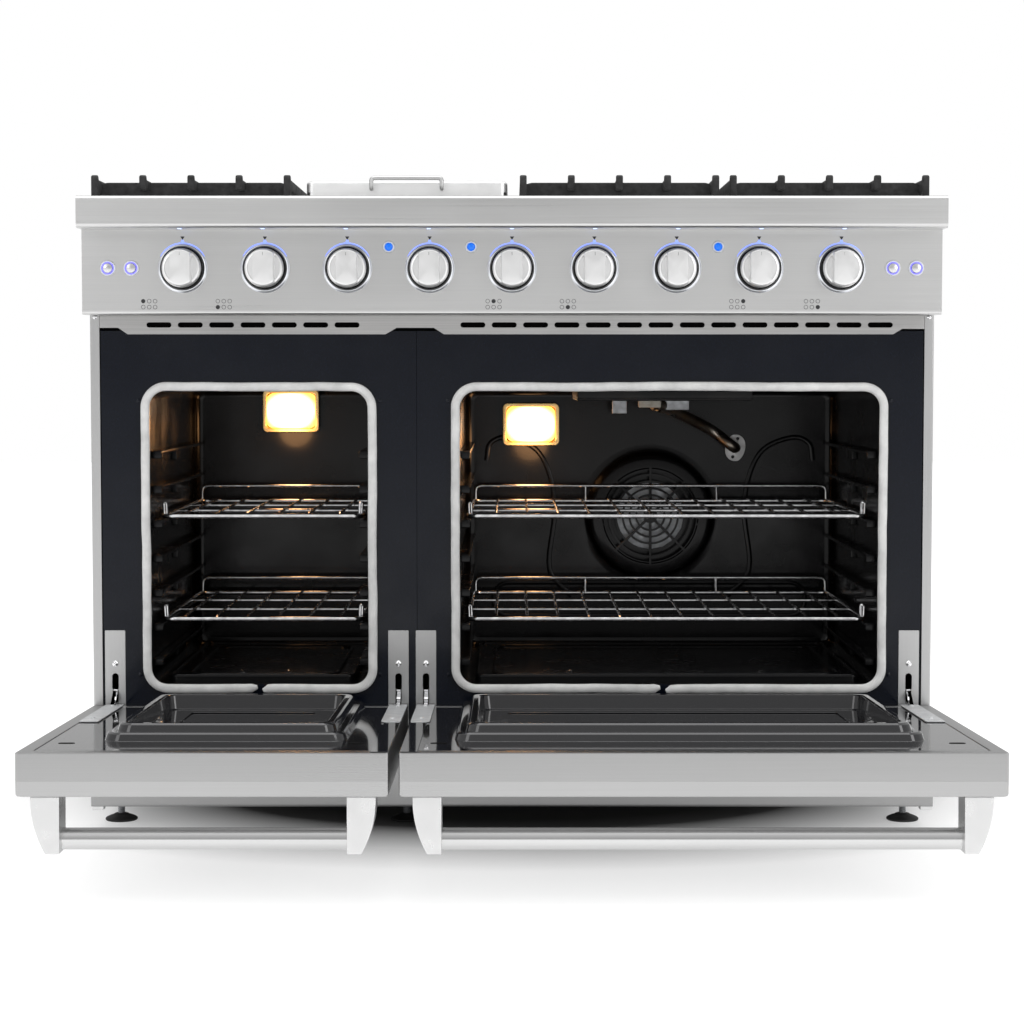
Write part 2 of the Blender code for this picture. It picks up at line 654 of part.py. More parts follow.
def make_lamps():
    left_x = (LEFT_OVEN[0] + LEFT_OVEN[1]) / 2 + LEFT_LAMP_SHIFT
    spots = {"left_oven_lamp": (left_x, OVEN_TOP - LEFT_LAMP_DROP),
             "right_oven_lamp": (RIGHT_OVEN[0] + RIGHT_LAMP_SIDE, OVEN_TOP - RIGHT_LAMP_DROP)}
    width, depth, height = LAMP_SIZE
    for name, (x, z) in spots.items():
        low = (-width / 2, -depth, -height / 2)
        high = (width / 2, 0, height / 2)
        lamp = blocks(name, [(low, high)], bevel=LAMP_CORNER, steps=2)
        keep(lamp, "lens", location=(x, OVEN_DEPTH - GAP, z), smooth=True)


def make_fan():
    """Convection fan: a hub, a disc and flat blades, behind a dished cover."""
    half = FAN_THICKNESS / 2
    wheel = rods("convection_fan", [((0, -half, 0), (0, half, 0), FAN_HUB)])
    unite(wheel, rods("disc", [((0, half - GAP - FAN_SKIN, 0), (0, half - GAP, 0), FAN_DISC)]))
    unite(wheel, fan_blades())
    bore = rods("bore", [((0, -CUT, 0), (0, CUT, 0), FAN_SHAFT + GAP)], sides=SMALL_ROUND)
    cut(wheel, bore)
    middle = OVEN_DEPTH - FAN_COVER_DEPTH / 2 + FAN_SETBACK
    keep(wheel, "galvanised", location=(FAN_X, middle, FAN_Z))


def fan_blades():
    shape = bmesh.new()
    for step in range(FAN_BLADES):
        size = Matrix.Diagonal((FAN_RADIUS - BLADE_START, FAN_THICKNESS - 2 * FAN_SKIN, FAN_SKIN, 1.0))
        shift = Matrix.Translation(((FAN_RADIUS + BLADE_START) / 2, 0, 0))
        turn = Matrix.Rotation(2 * math.pi * step / FAN_BLADES, 4, "Y")
        bmesh.ops.create_cube(shape, size=1.0, matrix=turn @ shift @ size)
    return mesh_from("blades", shape)


def make_fan_cover():
    """Dished steel cover with its grille opening, against the back wall."""
    depth, skin = FAN_COVER_DEPTH, SHEET
    edge, crown = FAN_COVER_RADIUS, FAN_OPENING + FAN_COVER_RIM
    foot = edge - FAN_COVER_RIM
    profile = [(FAN_OPENING, depth), (crown, depth), (foot, skin), (edge, skin), (edge, 0),
               (foot - skin, 0), (crown - skin, depth - skin), (FAN_OPENING, depth - skin)]
    dish = towards_front(turned("fan_cover", profile, sides=24, ring=True))
    reach = FAN_OPENING + FAN_COVER_RIM / 3
    near, far = -depth + FAN_BAR_SKIN, -depth + skin - FAN_BAR_SKIN
    for step in range(FAN_GRILLE_BARS):
        bar = blocks(f"bar_{step}", [((-reach, near, -FAN_BAR / 2), (reach, far, FAN_BAR / 2))])
        bar.data.transform(Matrix.Rotation(math.pi * step / FAN_GRILLE_BARS, 4, "Y"))
        unite(dish, bar)
    keep(dish, "enamel", location=(FAN_X, OVEN_DEPTH - GAP, FAN_Z))


def make_broil_burner():
    """Broiler under the right oven's ceiling, with its gas tube down to a flange on the back wall."""
    width, depth, height = BROILER_SIZE
    centre = (RIGHT_OVEN[0] + RIGHT_OVEN[1]) / 2
    top = OVEN_TOP - GAP
    box = blocks("broil_burner", [((centre - width / 2, BROILER_FRONT, top - height),
                                   (centre + width / 2, BROILER_FRONT + depth, top))])
    under = top - height
    start_y = BROILER_FRONT + BROILER_TUBE_REAR
    wide, deep, tall = SOCKET_SIZE
    unite(box, blocks("socket", [((centre - wide / 2, start_y - deep / 2, under - tall),
                                  (centre + wide / 2, start_y + deep / 2, under + GAP))]))
    wall = OVEN_DEPTH - GAP
    mouth = under - tall / 2
    path = [(centre, start_y, mouth), (centre + wide, start_y + deep, mouth - BROILER_TUBE / 2),
            (FLANGE_X - 2 * BROILER_TUBE, wall - 2 * BROILER_TUBE, FLANGE_Z + 2 * BROILER_TUBE),
            (FLANGE_X, wall - BROILER_TUBE, FLANGE_Z), (FLANGE_X, wall - FLANGE_SIZE[1] / 2, FLANGE_Z)]
    unite(box, wires("tube", [path], BROILER_TUBE, resolution=2))
    wide, deep, tall = FLANGE_SIZE
    unite(box, blocks("flange", [((FLANGE_X - wide / 2, wall - deep, FLANGE_Z - tall / 2),
                                  (FLANGE_X + wide / 2, wall, FLANGE_Z + tall / 2))]))
    keep(box, "galvanised")


def make_racks(side, oven):
    width = oven[1] - oven[0] - 2 * RACK_MARGIN
    depth = OVEN_DEPTH - RACK_REAR - RACK_FRONT
    centre = (oven[0] + oven[1]) / 2
    for rung, level_index in enumerate(RACK_LEVELS):
        name = side + ("_lower_rack", "_upper_rack")[rung]
        height = OVEN_BOTTOM + RIB_FIRST + level_index * RIB_PITCH + GAP + RACK_ROD
        rack = make_rack(name, width, depth)
        keep(rack, "polished", location=(centre, RACK_FRONT, height), smooth=True)


def make_rack(name, width, depth):
    """Frame rods across, wires from front to back on top of them, and a raised rear stop."""
    reach = width / 2 - RACK_ROD
    front, rear = RACK_ROD, depth - RACK_ROD
    edge = [(-reach, depth, 0), (-reach, front, 0), (reach, front, 0), (reach, depth, 0)]
    frame = wires(name, [edge], RACK_ROD)
    cross = [[(-reach, y, 0), (reach, y, 0)] for y in (depth / 2, rear)]
    unite(frame, wires("cross_rods", cross, RACK_CROSS))
    post, stop = reach - RACK_POST_INSET, RACK_RAIL_RISE
    rail = [(-post, rear, 0), (-post, rear, stop), (post, rear, stop), (post, rear, 0)]
    unite(frame, wires("rear_stop", [rail], RACK_WIRE))
    lift = RACK_ROD
    count = int(width / RACK_PITCH)
    start = -(count - 1) * RACK_PITCH / 2
    near, far = RACK_END, depth - RACK_END
    lines = [[(start + step * RACK_PITCH, near, lift), (start + step * RACK_PITCH, far, lift)]
             for step in range(count)]
    unite(frame, wires("wires", lines, RACK_WIRE, resolution=0))
    return frame


# ---- Doors: modelled closed, about their hinge axis, then turned open with their parent ----
def door_hinge(name):
    hinge = new_empty(name, (0, 0, HINGE_HEIGHT), BODY)
    hinge.rotation_euler = (DOOR_OPEN, 0, 0)
    return hinge


def make_door(side, span, oven):
    hinge = door_hinge(side + "_door_hinge")
    foot, head = DOOR_LIFT, DOOR_LIFT + DOOR_HEIGHT
    frame = window_frame(span, oven)
    make_door_shell(side, span, foot, head, frame, hinge)
    make_inner_panel(side, span, foot, head, frame, hinge)
    make_glass(side, frame, hinge)
    make_handle(side, span, head, hinge)
    for place, name in zip(arm_places(span), ("left", "right")):
        make_hinge_arm(f"{side}_door_{name}_hinge_arm", place, hinge)


def window_frame(span, oven):
    """Low and high corners (x, z) of the raised window frame, about the hinge axis."""
    low = Vector((oven[0] + WINDOW_SIDE, WINDOW_FOOT))
    high = Vector((oven[1] - WINDOW_SIDE, OVEN_TOP - WINDOW_HEAD - HINGE_HEIGHT))
    return low, high


def glass_opening(frame):
    inset = 2 * WINDOW_STEP + WINDOW_BAND
    return frame[0] + Vector((inset, inset)), frame[1] - Vector((inset, inset))


def make_door_shell(side, span, foot, head, frame, hinge):
    left, right = span
    shell = blocks(side + "_door_shell", [((left, OUTER_FACE, foot), (right, -DOOR_STANDOFF, head))])
    hollow = blocks("hollow", [((left + SHEET, OUTER_FACE + SHEET, foot + SHEET),
                                (right - SHEET, -DOOR_STANDOFF - SHEET, head - SHEET))])
    mouth = blocks("mouth", [((left + DOOR_LIP, -DOOR_STANDOFF - CUT, foot + DOOR_LIP),
                              (right - DOOR_LIP, CUT, head - DOOR_LIP))])
    low, high = glass_opening(frame)
    window = blocks("window", [((low.x, OUTER_FACE - CUT, low.y), (high.x, OUTER_FACE + CUT, high.y))])
    keep(cut(cut(cut(shell, hollow), mouth), window), "stainless", hinge)


def make_inner_panel(side, span, foot, head, frame, hinge):
    """Pressed enamel panel: a flat field with a frame of two steps round the window."""
    edge = DOOR_LIP + LIP_GAP
    low = Vector((span[0] + edge, foot + edge))
    high = Vector((span[1] - edge, head - edge))
    opening = glass_opening(frame)
    rise, step, flank = WINDOW_RAISE, WINDOW_STEP, WINDOW_FLANK
    insets = ((0, 0), (flank, rise), (step, rise), (step + flank, 2 * rise), (2 * step, 2 * rise),
              (2 * step + flank, 0))
    rings = [(low, high, LIP_CORNER, 0)]
    for inset, height in insets:
        grow = Vector((inset, inset))
        rings.append((frame[0] + grow, frame[1] - grow, WINDOW_CORNER, height))
    rings.append((*opening, LIP_CORNER, 0))
    panel = pressed(side + "_door_inner_panel", rings, -DOOR_STANDOFF - GAP)
    keep(panel, "enamel", hinge)


def pressed(name, rings, face):
    """Sheet pressed into rounded rings of (low, high, corner radius, rise), open in the middle."""
    shape = bmesh.new()
    loops = []
    for low, high, radius, rise in rings:
        corners = rounded_loop(low, high, radius, steps=3)
        loops.append([shape.verts.new((x, face + rise, z)) for x, z in corners])
    for outer, inner in zip(loops, loops[1:]):
        for i in range(len(outer)):
            j = (i + 1) % len(outer)
            shape.faces.new((outer[i], outer[j], inner[j], inner[i]))
    sheet = mesh_from(name, shape)
    if sheet.data.polygons[0].normal.y < 0:
        sheet.data.flip_normals()
    thicken(sheet, SHEET)
    return sheet


def make_glass(side, frame, hinge):
    low, high = glass_opening(frame)
    overlap = Vector((GLASS_OVERLAP, GLASS_OVERLAP))
    back = -DOOR_STANDOFF - SHEET - 2 * GAP
    low, high = low - overlap, high + overlap
    pane = blocks(side + "_door_glass", [((low.x, back - GLASS, low.y), (high.x, back, high.y))])
    keep(pane, "glass", hinge)


def make_handle(side, span, head, hinge):
    """Round bar between two brackets whose outer sides curve in towards the tip."""
    face = OUTER_FACE - GAP
    middle = head - BRACKET_DROP - BRACKET_HEIGHT / 2
    left = span[0] + BRACKET_INSET
    right = span[1] - BRACKET_INSET
    handle = outline(side + "_door_handle", [bracket_outline(left, 1, face)], BRACKET_HEIGHT, level(middle))
    unite(handle, outline("bracket", [bracket_outline(right, -1, face)], BRACKET_HEIGHT, level(middle)))
    bar_y = OUTER_FACE - HANDLE_STANDOFF
    inset = BRACKET_WIDTH - BAR_OVERLAP
    unite(handle, rods("bar", [((left + inset, bar_y, middle), (right - inset, bar_y, middle), HANDLE_BAR)]))
    keep(handle, "stainless", hinge)


def bracket_outline(edge, inwards, face):
    """Outline in (x, y): flat on the door and on the inner side, curved on the outer side."""
    points = []
    steps = 7
    for step in range(steps + 1):
        share = step / steps
        curve = BRACKET_TIP * share ** BRACKET_CURVE
        points.append((edge + inwards * curve, face - HANDLE_REACH * share))
    points.append((edge + inwards * BRACKET_WIDTH, face - HANDLE_REACH))
    points.append((edge + inwards * BRACKET_WIDTH, face))
    return points


def arm_places(door):
    """Centres of a door's two hinge arms."""
    if door == LEFT_DOOR:
        return (door[0] + ARM_INSET, door[1] - ARM_SEAM_INSET)
    return (door[0] + ARM_SEAM_INSET, door[1] - ARM_INSET)


def make_hinge_arm(name, x, hinge):
    """Flat hook: a leaf on the door's inner face, a neck at the axis and a claw in the body's slot."""
    skin = -DOOR_STANDOFF + GAP
    thick = ARM_CLAW / 2
    leaf = [(skin + thick, ARM_LEAF), (skin, ARM_LEAF), (skin, thick / 2)]
    neck = [(skin + thick / 2, -thick), (ARM_CLAW, -2 * thick)]
    claw = [(ARM_CLAW + thick, -thick / 2), (ARM_CLAW + thick, thick), (ARM_CLAW, thick / 3)]
    arm = outline(name, [leaf + neck + claw + [(0, 0), (skin + thick, thick)]], ARM_WIDTH, across(x))
    keep(arm, "polished", hinge)


# ---- Control panel ----
def knob_places():
    start = -(KNOB_COUNT - 1) * KNOB_PITCH / 2
    return [start + step * KNOB_PITCH for step in range(KNOB_COUNT)]


def make_control_panel():
    """Sheet with a bottom and two cheeks, open at the back and at the top, where the rail closes it."""
    top = RAIL_BOTTOM - GAP
    front = -PANEL_PROUD
    panel = blocks("control_panel", [((-HALF, front, PANEL_BOTTOM), (HALF, -GAP, top))])
    hollow = blocks("hollow", [((-HALF + SHEET, front + SHEET, PANEL_BOTTOM + SHEET),
                                (HALF - SHEET, CUT, top + CUT))])
    cut(panel, hollow)
    near, far = front - CUT, front + CUT
    places = knob_places()
    spots = [(x, KNOB_HEIGHT, KNOB_SHAFT + SHAFT_CLEARANCE) for x in places]
    spots += [(x, KNOB_HEIGHT, BUTTON_RADIUS + BUTTON_CLEARANCE) for x in BUTTONS]
    spots += [(places[index] + INDICATOR_OFFSET[0], KNOB_HEIGHT + INDICATOR_OFFSET[1], INDICATOR_RADIUS)
              for index in INDICATOR_KNOBS]
    holes = [((x, near, z), (x, far, z), radius) for x, z, radius in spots]
    cut(panel, rods("holes", holes, sides=SMALL_ROUND))
    keep(panel, "stainless")


def make_knobs():
    """Skirted knob with a raised grip bar, and a shaft through the panel to its valve."""
    face = KNOB_DEPTH - GRIP_PROUD
    profile = [(0, face), (KNOB_FACE, face), (KNOB_FACE + KNOB_DRAFT, KNOB_SKIRT), (KNOB_RADIUS, KNOB_SKIRT),
               (KNOB_RADIUS, KNOB_LIFT), (KNOB_SHAFT, KNOB_LIFT), (KNOB_SHAFT, -SHEET), (0, -SHEET)]
    reach = KNOB_FACE - GRIP_INSET
    for name, x in zip(KNOB_NAMES, knob_places()):
        knob = towards_front(turned(name, profile))
        grip = blocks("grip", [((-GRIP_WIDTH / 2, -KNOB_DEPTH, -reach), (GRIP_WIDTH / 2, -GRIP_ROOT, reach))])
        unite(knob, grip)
        keep(knob, "polished", location=(x, -PANEL_PROUD, KNOB_HEIGHT), smooth=True)


def make_buttons():
    profile = [(0, BUTTON_PROUD), (BUTTON_RADIUS - BUTTON_CHAMFER, BUTTON_PROUD),
               (BUTTON_RADIUS, BUTTON_PROUD - BUTTON_CHAMFER), (BUTTON_RADIUS, -BUTTON_TAIL), (0, -BUTTON_TAIL)]
    for name, x in zip(BUTTON_NAMES, BUTTONS):
        button = towards_front(turned(name, profile, sides=SMALL_ROUND))
        keep(button, "polished", location=(x, -PANEL_PROUD, KNOB_HEIGHT), smooth=True)


def make_manifold():
    """Gas manifold behind the knobs, one valve for each, and its inlet out through the back."""
    y, z = MANIFOLD_Y, KNOB_HEIGHT
    start = knob_places()[0] - MANIFOLD_END
    run = [(start, y, z), (INLET_X, y, z), (INLET_X, BODY_DEPTH, z)]
    pipe = wires("gas_manifold", [run], MANIFOLD)
    face = -PANEL_PROUD + SHEET + GAP
    valves = [((x, face, z), (x, y - MANIFOLD + VALVE_OVERLAP, z), VALVE) for x in knob_places()]
    unite(pipe, rods("valves", valves, sides=SMALL_ROUND))
    keep(pipe, "aluminium")


# ---- Cooktop ----
def stations():
    """The four places across the cooktop: (left, right) of each grate and of the griddle."""
    edge = -HALF
    places = []
    for gap in STATION_GAPS:
        edge += gap
        places.append((edge, edge + STATION_WIDTH))
        edge += STATION_WIDTH
    return places


def make_cooktop():
    """Front rail, tray and rear rim, folded from one sheet, closed by two side rims."""
    rear = BODY_DEPTH
    front, lip = -RAIL_PROUD, -RAIL_PROUD + RAIL_DEPTH
    line = [(-PANEL_PROUD, RAIL_BOTTOM), (front, RAIL_BOTTOM), (front, RAIL_TOP), (lip, RAIL_TOP),
            (lip, TRAY_FLOOR),
            (rear - TRAY_REAR, TRAY_FLOOR), (rear - TRAY_REAR, RAIL_TOP), (rear, RAIL_TOP), (rear, RAIL_BOTTOM)]
    tray = folded("cooktop_tray", line, -HALF, HALF)
    for side in (-1, 1):
        low, high = sorted((side * HALF, side * (HALF - SHEET)))
        rim = blocks("rim", [((low, front, RAIL_BOTTOM), (high, rear, RAIL_TOP))])
        unite(tray, rim)
    necks = [((x, y, TRAY_FLOOR - CUT), (x, y, TRAY_FLOOR + CUT), BURNER_NECK + NECK_CLEARANCE)
             for x in burner_columns() for y in burner_rows()]
    cut(tray, rods("necks", necks))
    keep(tray, "stainless")


def burner_columns():
    return [sum(place) / 2 for index, place in enumerate(stations()) if index != GRIDDLE_STATION]


def burner_rows():
    return (BURNER_FRONT, BURNER_FRONT + BURNER_PITCH)


def make_burners():
    """Each pair is a front and a rear burner on one gas tube that starts at the manifold."""
    base, neck = TRAY_FLOOR + GAP, TRAY_FLOOR - BURNER_DEPTH
    top = base + BURNER_HEIGHT
    edge, cap_low, cap_high = (base + rise for rise in BURNER_RINGS)
    profile = [(0, top), (BURNER_CAP - BURNER_CHAMFER, top), (BURNER_CAP, cap_high), (BURNER_CAP, cap_low),
               (BURNER_BASE, edge), (BURNER_BASE, base), (BURNER_NECK, base), (BURNER_NECK, neck), (0, neck)]
    pipe_z = neck + TUBE_RISE
    start_y = MANIFOLD_Y - BURNER_FRONT
    path = [(0, BURNER_PITCH, pipe_z), (0, start_y, pipe_z), (0, start_y, KNOB_HEIGHT + MANIFOLD + GAP)]
    for name, x in zip(BURNER_NAMES, burner_columns()):
        pair = solid_copy(turned(name, profile))
        rear = solid_copy(turned("rear", profile))
        rear.data.transform(Matrix.Translation((0, BURNER_PITCH, 0)))
        unite(pair, rear)
        unite(pair, wires("tube", [path], TUBE))
        keep(pair, "aluminium", location=(x, BURNER_FRONT, 0), smooth=True)


def make_grates():
    for name, x in zip(GRATE_NAMES, burner_columns()):
        keep(make_grate(name), "cast_iron", location=(x, 0, TRAY_FLOOR + GAP))


def make_grate(name):
    """Five bars from front to back, cut short round the burners, on three cross bars."""
    half_bar = GRATE_BAR / 2
    reach = STATION_WIDTH / 2 - half_bar
    pitch = reach / 2
    front, rear = STATION_FRONT, STATION_REAR
    grate = outline(name, [side_bar_outline(front, rear)], GRATE_BAR, across(-reach))
    unite(grate, outline("right_bar", [side_bar_outline(front, rear)], GRATE_BAR, across(reach)))
    deck = GRATE_RISE - GRATE_DECK
    low = deck - GRATE_BAR_HEIGHT
    crosses = [((-reach, y - half_bar, low - GRATE_CROSS_EXTRA), (reach, y + half_bar, deck - GRATE_CROSS_DROP))
               for y in cross_rows()]
    unite(grate, blocks("cross_bars", crosses))
    for number, x in enumerate((-pitch, 0, pitch)):
        unite(grate, blocks(f"middle_bars_{number}", middle_bars(x, low, deck)))
    fingers = []
    for y in burner_rows():
        fingers.append(((-reach, y - half_bar, low), (-pitch + GRATE_FINGER, y + half_bar, deck)))
        fingers.append(((pitch - GRATE_FINGER, y - half_bar, low), (reach, y + half_bar, deck)))
    unite(grate, blocks("fingers", fingers))
    return grate


def cross_rows():
    middle = BURNER_FRONT + BURNER_PITCH / 2
    return (STATION_FRONT + GRATE_CROSS_INSET, middle, STATION_REAR - GRATE_CROSS_INSET)


def middle_bars(x, low, deck):
    """Stretches of one middle bar: they stop short of both burners, and end in posts."""
    half_bar = GRATE_BAR / 2
    ends = []
    clear = BURNER_BASE + BURNER_CLEAR
    first, second = burner_rows()
    for start, end in ((STATION_FRONT, first - clear), (first + clear, second - clear),
                       (second + clear, STATION_REAR)):
        ends.append(((x - half_bar, start, low), (x + half_bar, end, deck)))
    return ends


def side_bar_outline(front, rear):
    """Outline in (y, z): feet at both ends, and posts that rise over the deck."""
    deck = GRATE_RISE - GRATE_DECK
    low = deck - GRATE_BAR_HEIGHT - GRATE_SIDE_EXTRA
    post, foot = GRATE_POST, GRATE_FOOT
    half = [(front, 0), (front, GRATE_RISE), (front + post, GRATE_RISE), (front + post, deck)]
    other = [(rear - post, deck), (rear - post, GRATE_RISE), (rear, GRATE_RISE), (rear, 0)]
    return half + other + [(rear - foot, 0), (rear - foot, low), (front + foot, low), (front + foot, 0)]


def make_griddle():
    """Cast plate with a raised rim, on four short legs."""
    left, right = stations()[GRIDDLE_STATION]
    place = ((left + right) / 2, 0, TRAY_FLOOR + GAP)
    half = STATION_WIDTH / 2
    front, rear = STATION_FRONT + GRIDDLE_SETBACK, STATION_REAR
    top = GRIDDLE_LEG + GRIDDLE_PLATE
    wall = GRIDDLE_WALL
    plate = blocks("griddle_plate", [((-half, front, GRIDDLE_LEG), (half, rear, top + GRIDDLE_RIM))])
    cut(plate, blocks("pan", [((-half + wall, front + wall, top), (half - wall, rear - wall, top + CUT))]))
    inset, reach = GRIDDLE_LEG_INSET, GRIDDLE_LEG_WIDTH / 2
    legs = [((x - reach, y - reach, 0), (x + reach, y + reach, GRIDDLE_LEG + GRIDDLE_PLATE / 2))
            for x in (inset - half, half - inset) for y in (front + inset, rear - inset)]
    unite(plate, blocks("legs", legs))
    keep(plate, "cast_iron", location=place)
    make_griddle_cover(front, rear, top + GRIDDLE_RIM + GAP, place)


def make_griddle_cover(front, rear, foot, place):
    """Shallow lid with a rod handle that stands over its front edge."""
    half, top = STATION_WIDTH / 2, foot + COVER_HEIGHT
    cover = blocks("griddle_cover", [((-half, front, foot), (half, rear, top))])
    inside = ((SHEET - half, front + SHEET, foot - CUT), (half - SHEET, rear - SHEET, top - SHEET))
    cut(cover, blocks("inside", [inside]))
    grip = COVER_HANDLE / 2
    root, out = front + COVER_ROD_ROOT, front - COVER_ROD_OUT
    end, crown = foot + COVER_ROD_RISE, GRATE_RISE - COVER_ROD
    path = [(-grip, root, end), (-grip, out, end), (-grip, out, crown),
            (grip, out, crown), (grip, out, end), (grip, root, end)]
    unite(cover, wires("rod", [path], COVER_ROD, resolution=2))
    keep(cover, "stainless", location=place)


empty_scene()
RANGE = new_collection("gas_range")
CUTTERS = new_collection("cutters")
MATERIALS = {finish: new_finish(finish) for finish in FINISHES}
BODY = new_empty("body_front_plane", (0, FRONT_Y, 0))

make_chassis()
make_side_panels()
make_feet()
make_vent_trim()
make_oven("left", LEFT_OVEN, (-BAY_EDGE, SEAM - GAP / 2), LEFT_DOOR)
make_oven("right", RIGHT_OVEN, (SEAM + GAP / 2, BAY_EDGE), RIGHT_DOOR)
for oven_side, oven_span in (("left", LEFT_OVEN), ("right", RIGHT_OVEN)):
    make_gasket(oven_side, oven_span)
    make_oven_floor(oven_side, oven_span)
    make_racks(oven_side, oven_span)
make_lamps()
make_fan()
make_fan_cover()
make_broil_burner()
make_door("left", LEFT_DOOR, LEFT_OVEN)
make_door("right", RIGHT_DOOR, RIGHT_OVEN)
make_control_panel()
make_knobs()
make_buttons()
make_manifold()
make_cooktop()
make_burners()
make_grates()
make_griddle()
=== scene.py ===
"""Looks of the freestanding gas range: steel, enamel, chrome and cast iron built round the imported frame."""
import json
import math

import bmesh
import bpy
from mathutils import Matrix, Vector, noise


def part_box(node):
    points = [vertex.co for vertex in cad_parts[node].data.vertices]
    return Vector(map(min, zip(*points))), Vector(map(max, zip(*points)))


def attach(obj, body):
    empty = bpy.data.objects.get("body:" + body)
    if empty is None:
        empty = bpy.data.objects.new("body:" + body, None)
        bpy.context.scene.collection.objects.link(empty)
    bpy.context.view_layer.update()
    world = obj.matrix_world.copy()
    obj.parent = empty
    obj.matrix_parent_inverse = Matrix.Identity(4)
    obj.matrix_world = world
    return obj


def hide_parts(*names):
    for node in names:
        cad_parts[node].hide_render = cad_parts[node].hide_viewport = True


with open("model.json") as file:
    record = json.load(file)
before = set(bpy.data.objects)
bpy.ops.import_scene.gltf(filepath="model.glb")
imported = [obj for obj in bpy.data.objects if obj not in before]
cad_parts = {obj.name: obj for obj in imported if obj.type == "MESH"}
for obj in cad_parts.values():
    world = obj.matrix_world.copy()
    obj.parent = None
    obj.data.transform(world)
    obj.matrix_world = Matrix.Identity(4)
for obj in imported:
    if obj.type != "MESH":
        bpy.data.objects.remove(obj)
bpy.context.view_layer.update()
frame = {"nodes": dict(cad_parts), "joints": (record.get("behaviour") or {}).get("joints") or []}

# ---- Sizes that the frame gives ----
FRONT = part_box("left_oven_cavity")[0].y
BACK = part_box("chassis")[1].y
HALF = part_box("cooktop_tray")[1].x
RAIL_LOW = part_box("cooktop_tray")[0]
PANEL_LOW, PANEL_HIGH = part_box("control_panel")
TRIM_LOW, TRIM_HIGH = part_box("vent_trim")
HINGE = Vector(next(j["pos_m"] for j in frame["joints"] if j["name"] == "left_door_hinge"))
TRAY_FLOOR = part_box("left_grate")[0].z - 0.0003
OVENS = {"left": (-0.523, -0.207), "right": (-0.076, 0.530)}
OVEN_LOW, OVEN_HIGH, OVEN_DEPTH = 0.210, 0.636, 0.490
DOORS = {"left": (-0.608, -0.151), "right": (-0.1385, 0.608)}
DOOR_OPEN = math.radians(88)
DOOR_FOOT, DOOR_HEAD = 0.002, 0.551
DOOR_INNER, DOOR_OUTER = -0.0105, -0.066
DOOR_LIP = 0.019
DOOR_STEP = -0.0461             # where the door's edge turns from its upper to its drawn lower part
RAIL_TOP = 0.907
KICK_TOP = 0.1176
HINGE_SLOT = (0.166, 0.226)     # height of the slots that the hinge arms pass through
TRIM_STEP = 0.7262              # lower edge of the vent strip beside the ovens
VENT_HEIGHT, VENT_PITCH = 0.7303, 0.0451
GAS_INLET = (0.563, 0.809)
SHEET = 0.0012                  # steel sheet
SKIN = 0.0010                   # enamelled and drawn sheet
LEAF_HALF = 0.0132              # half the width of a hinge leaf

FINISH = {}


# ---- Making and placing pieces ----
def put(piece, body, finish, replaces=(), slot=None, angle=35.0):
    """Give a finished piece its finish and its body."""
    piece.data.materials.clear()
    piece.data.materials.append(FINISH[finish])
    if angle:
        piece.data.shade_smooth()
        piece.data.set_sharp_from_angle(angle=math.radians(angle))
        piece.modifiers.new("Even shading", "WEIGHTED_NORMAL").keep_sharp = True
    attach(piece, body)
    if replaces:
        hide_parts(*([replaces] if isinstance(replaces, str) else replaces))
    return piece


def link(name, mesh):
    """A new object in the scene."""
    piece = bpy.data.objects.new(name, mesh)
    bpy.context.scene.collection.objects.link(piece)
    return piece


def from_shape(name, shape, outward=True):
    """An object from a bmesh, which is used up."""
    if outward:
        bmesh.ops.recalc_face_normals(shape, faces=shape.faces)
    mesh = bpy.data.meshes.new(name)
    shape.to_mesh(mesh)
    shape.free()
    return link(name, mesh)


def made_real(piece):
    """The piece with its modifiers applied, as a plain mesh."""
    view = bpy.context.evaluated_depsgraph_get()
    mesh = bpy.data.meshes.new_from_object(piece.evaluated_get(view))
    name = piece.name
    bpy.data.objects.remove(piece, do_unlink=True)
    mesh.name = name
    return link(name, mesh)


def joined(name, parts):
    """One mesh from several, in the first one's place."""
    shape = bmesh.new()
    for part in parts:
        shape.from_mesh(part.data)
        bpy.data.objects.remove(part, do_unlink=True)
    return from_shape(name, shape, outward=False)


def moved(piece, matrix):
    """The piece with its mesh moved, so that its own place stays at the origin."""
    piece.data.transform(matrix)
    if matrix.determinant() < 0:
        piece.data.flip_normals()
    return piece


def softened(piece, width, steps=2, angle=30.0):
    """The piece with its sharp edges rounded."""
    bevel = piece.modifiers.new("Soft", "BEVEL")
    bevel.width = width
    bevel.segments = steps
    bevel.limit_method = "ANGLE"
    bevel.angle_limit = math.radians(angle)
    return made_real(piece)


def carved(piece, *tools):
    """The piece with the tools' shapes cut out of it; the tools are used up."""
    for tool in tools:
        step = piece.modifiers.new("Carve", "BOOLEAN")
        step.operation = "DIFFERENCE"
        step.solver = "EXACT"
        step.object = tool
    piece = made_real(piece)
    for tool in tools:
        bpy.data.objects.remove(tool, do_unlink=True)
    return piece


def slab(name, low, high, soft=0.0, steps=2):
    """A block between two corners, with its edges rounded."""
    shape = bmesh.new()
    low, high = Vector(low), Vector(high)
    place = Matrix.Translation((low + high) / 2) @ Matrix.Diagonal((*(high - low), 1.0))
    bmesh.ops.create_cube(shape, size=1.0, matrix=place)
    if soft:
        bmesh.ops.bevel(shape, geom=shape.edges[:], offset=soft, segments=steps, profile=0.5, affect="EDGES")
    return from_shape(name, shape)


def skinned(shape, rows):
    """Faces between neighbouring closed rows of points."""
    for one, two in zip(rows, rows[1:]):
        for k in range(len(one)):
            m = (k + 1) % len(one)
            shape.faces.new((one[k], one[m], two[m], two[k]))


def thickened(piece, thickness, offset=-1.0, even=False):
    """Give a skin the thickness of its sheet."""
    sheet = piece.modifiers.new("Sheet", "SOLIDIFY")
    sheet.thickness = thickness
    sheet.offset = offset
    sheet.use_even_offset = even


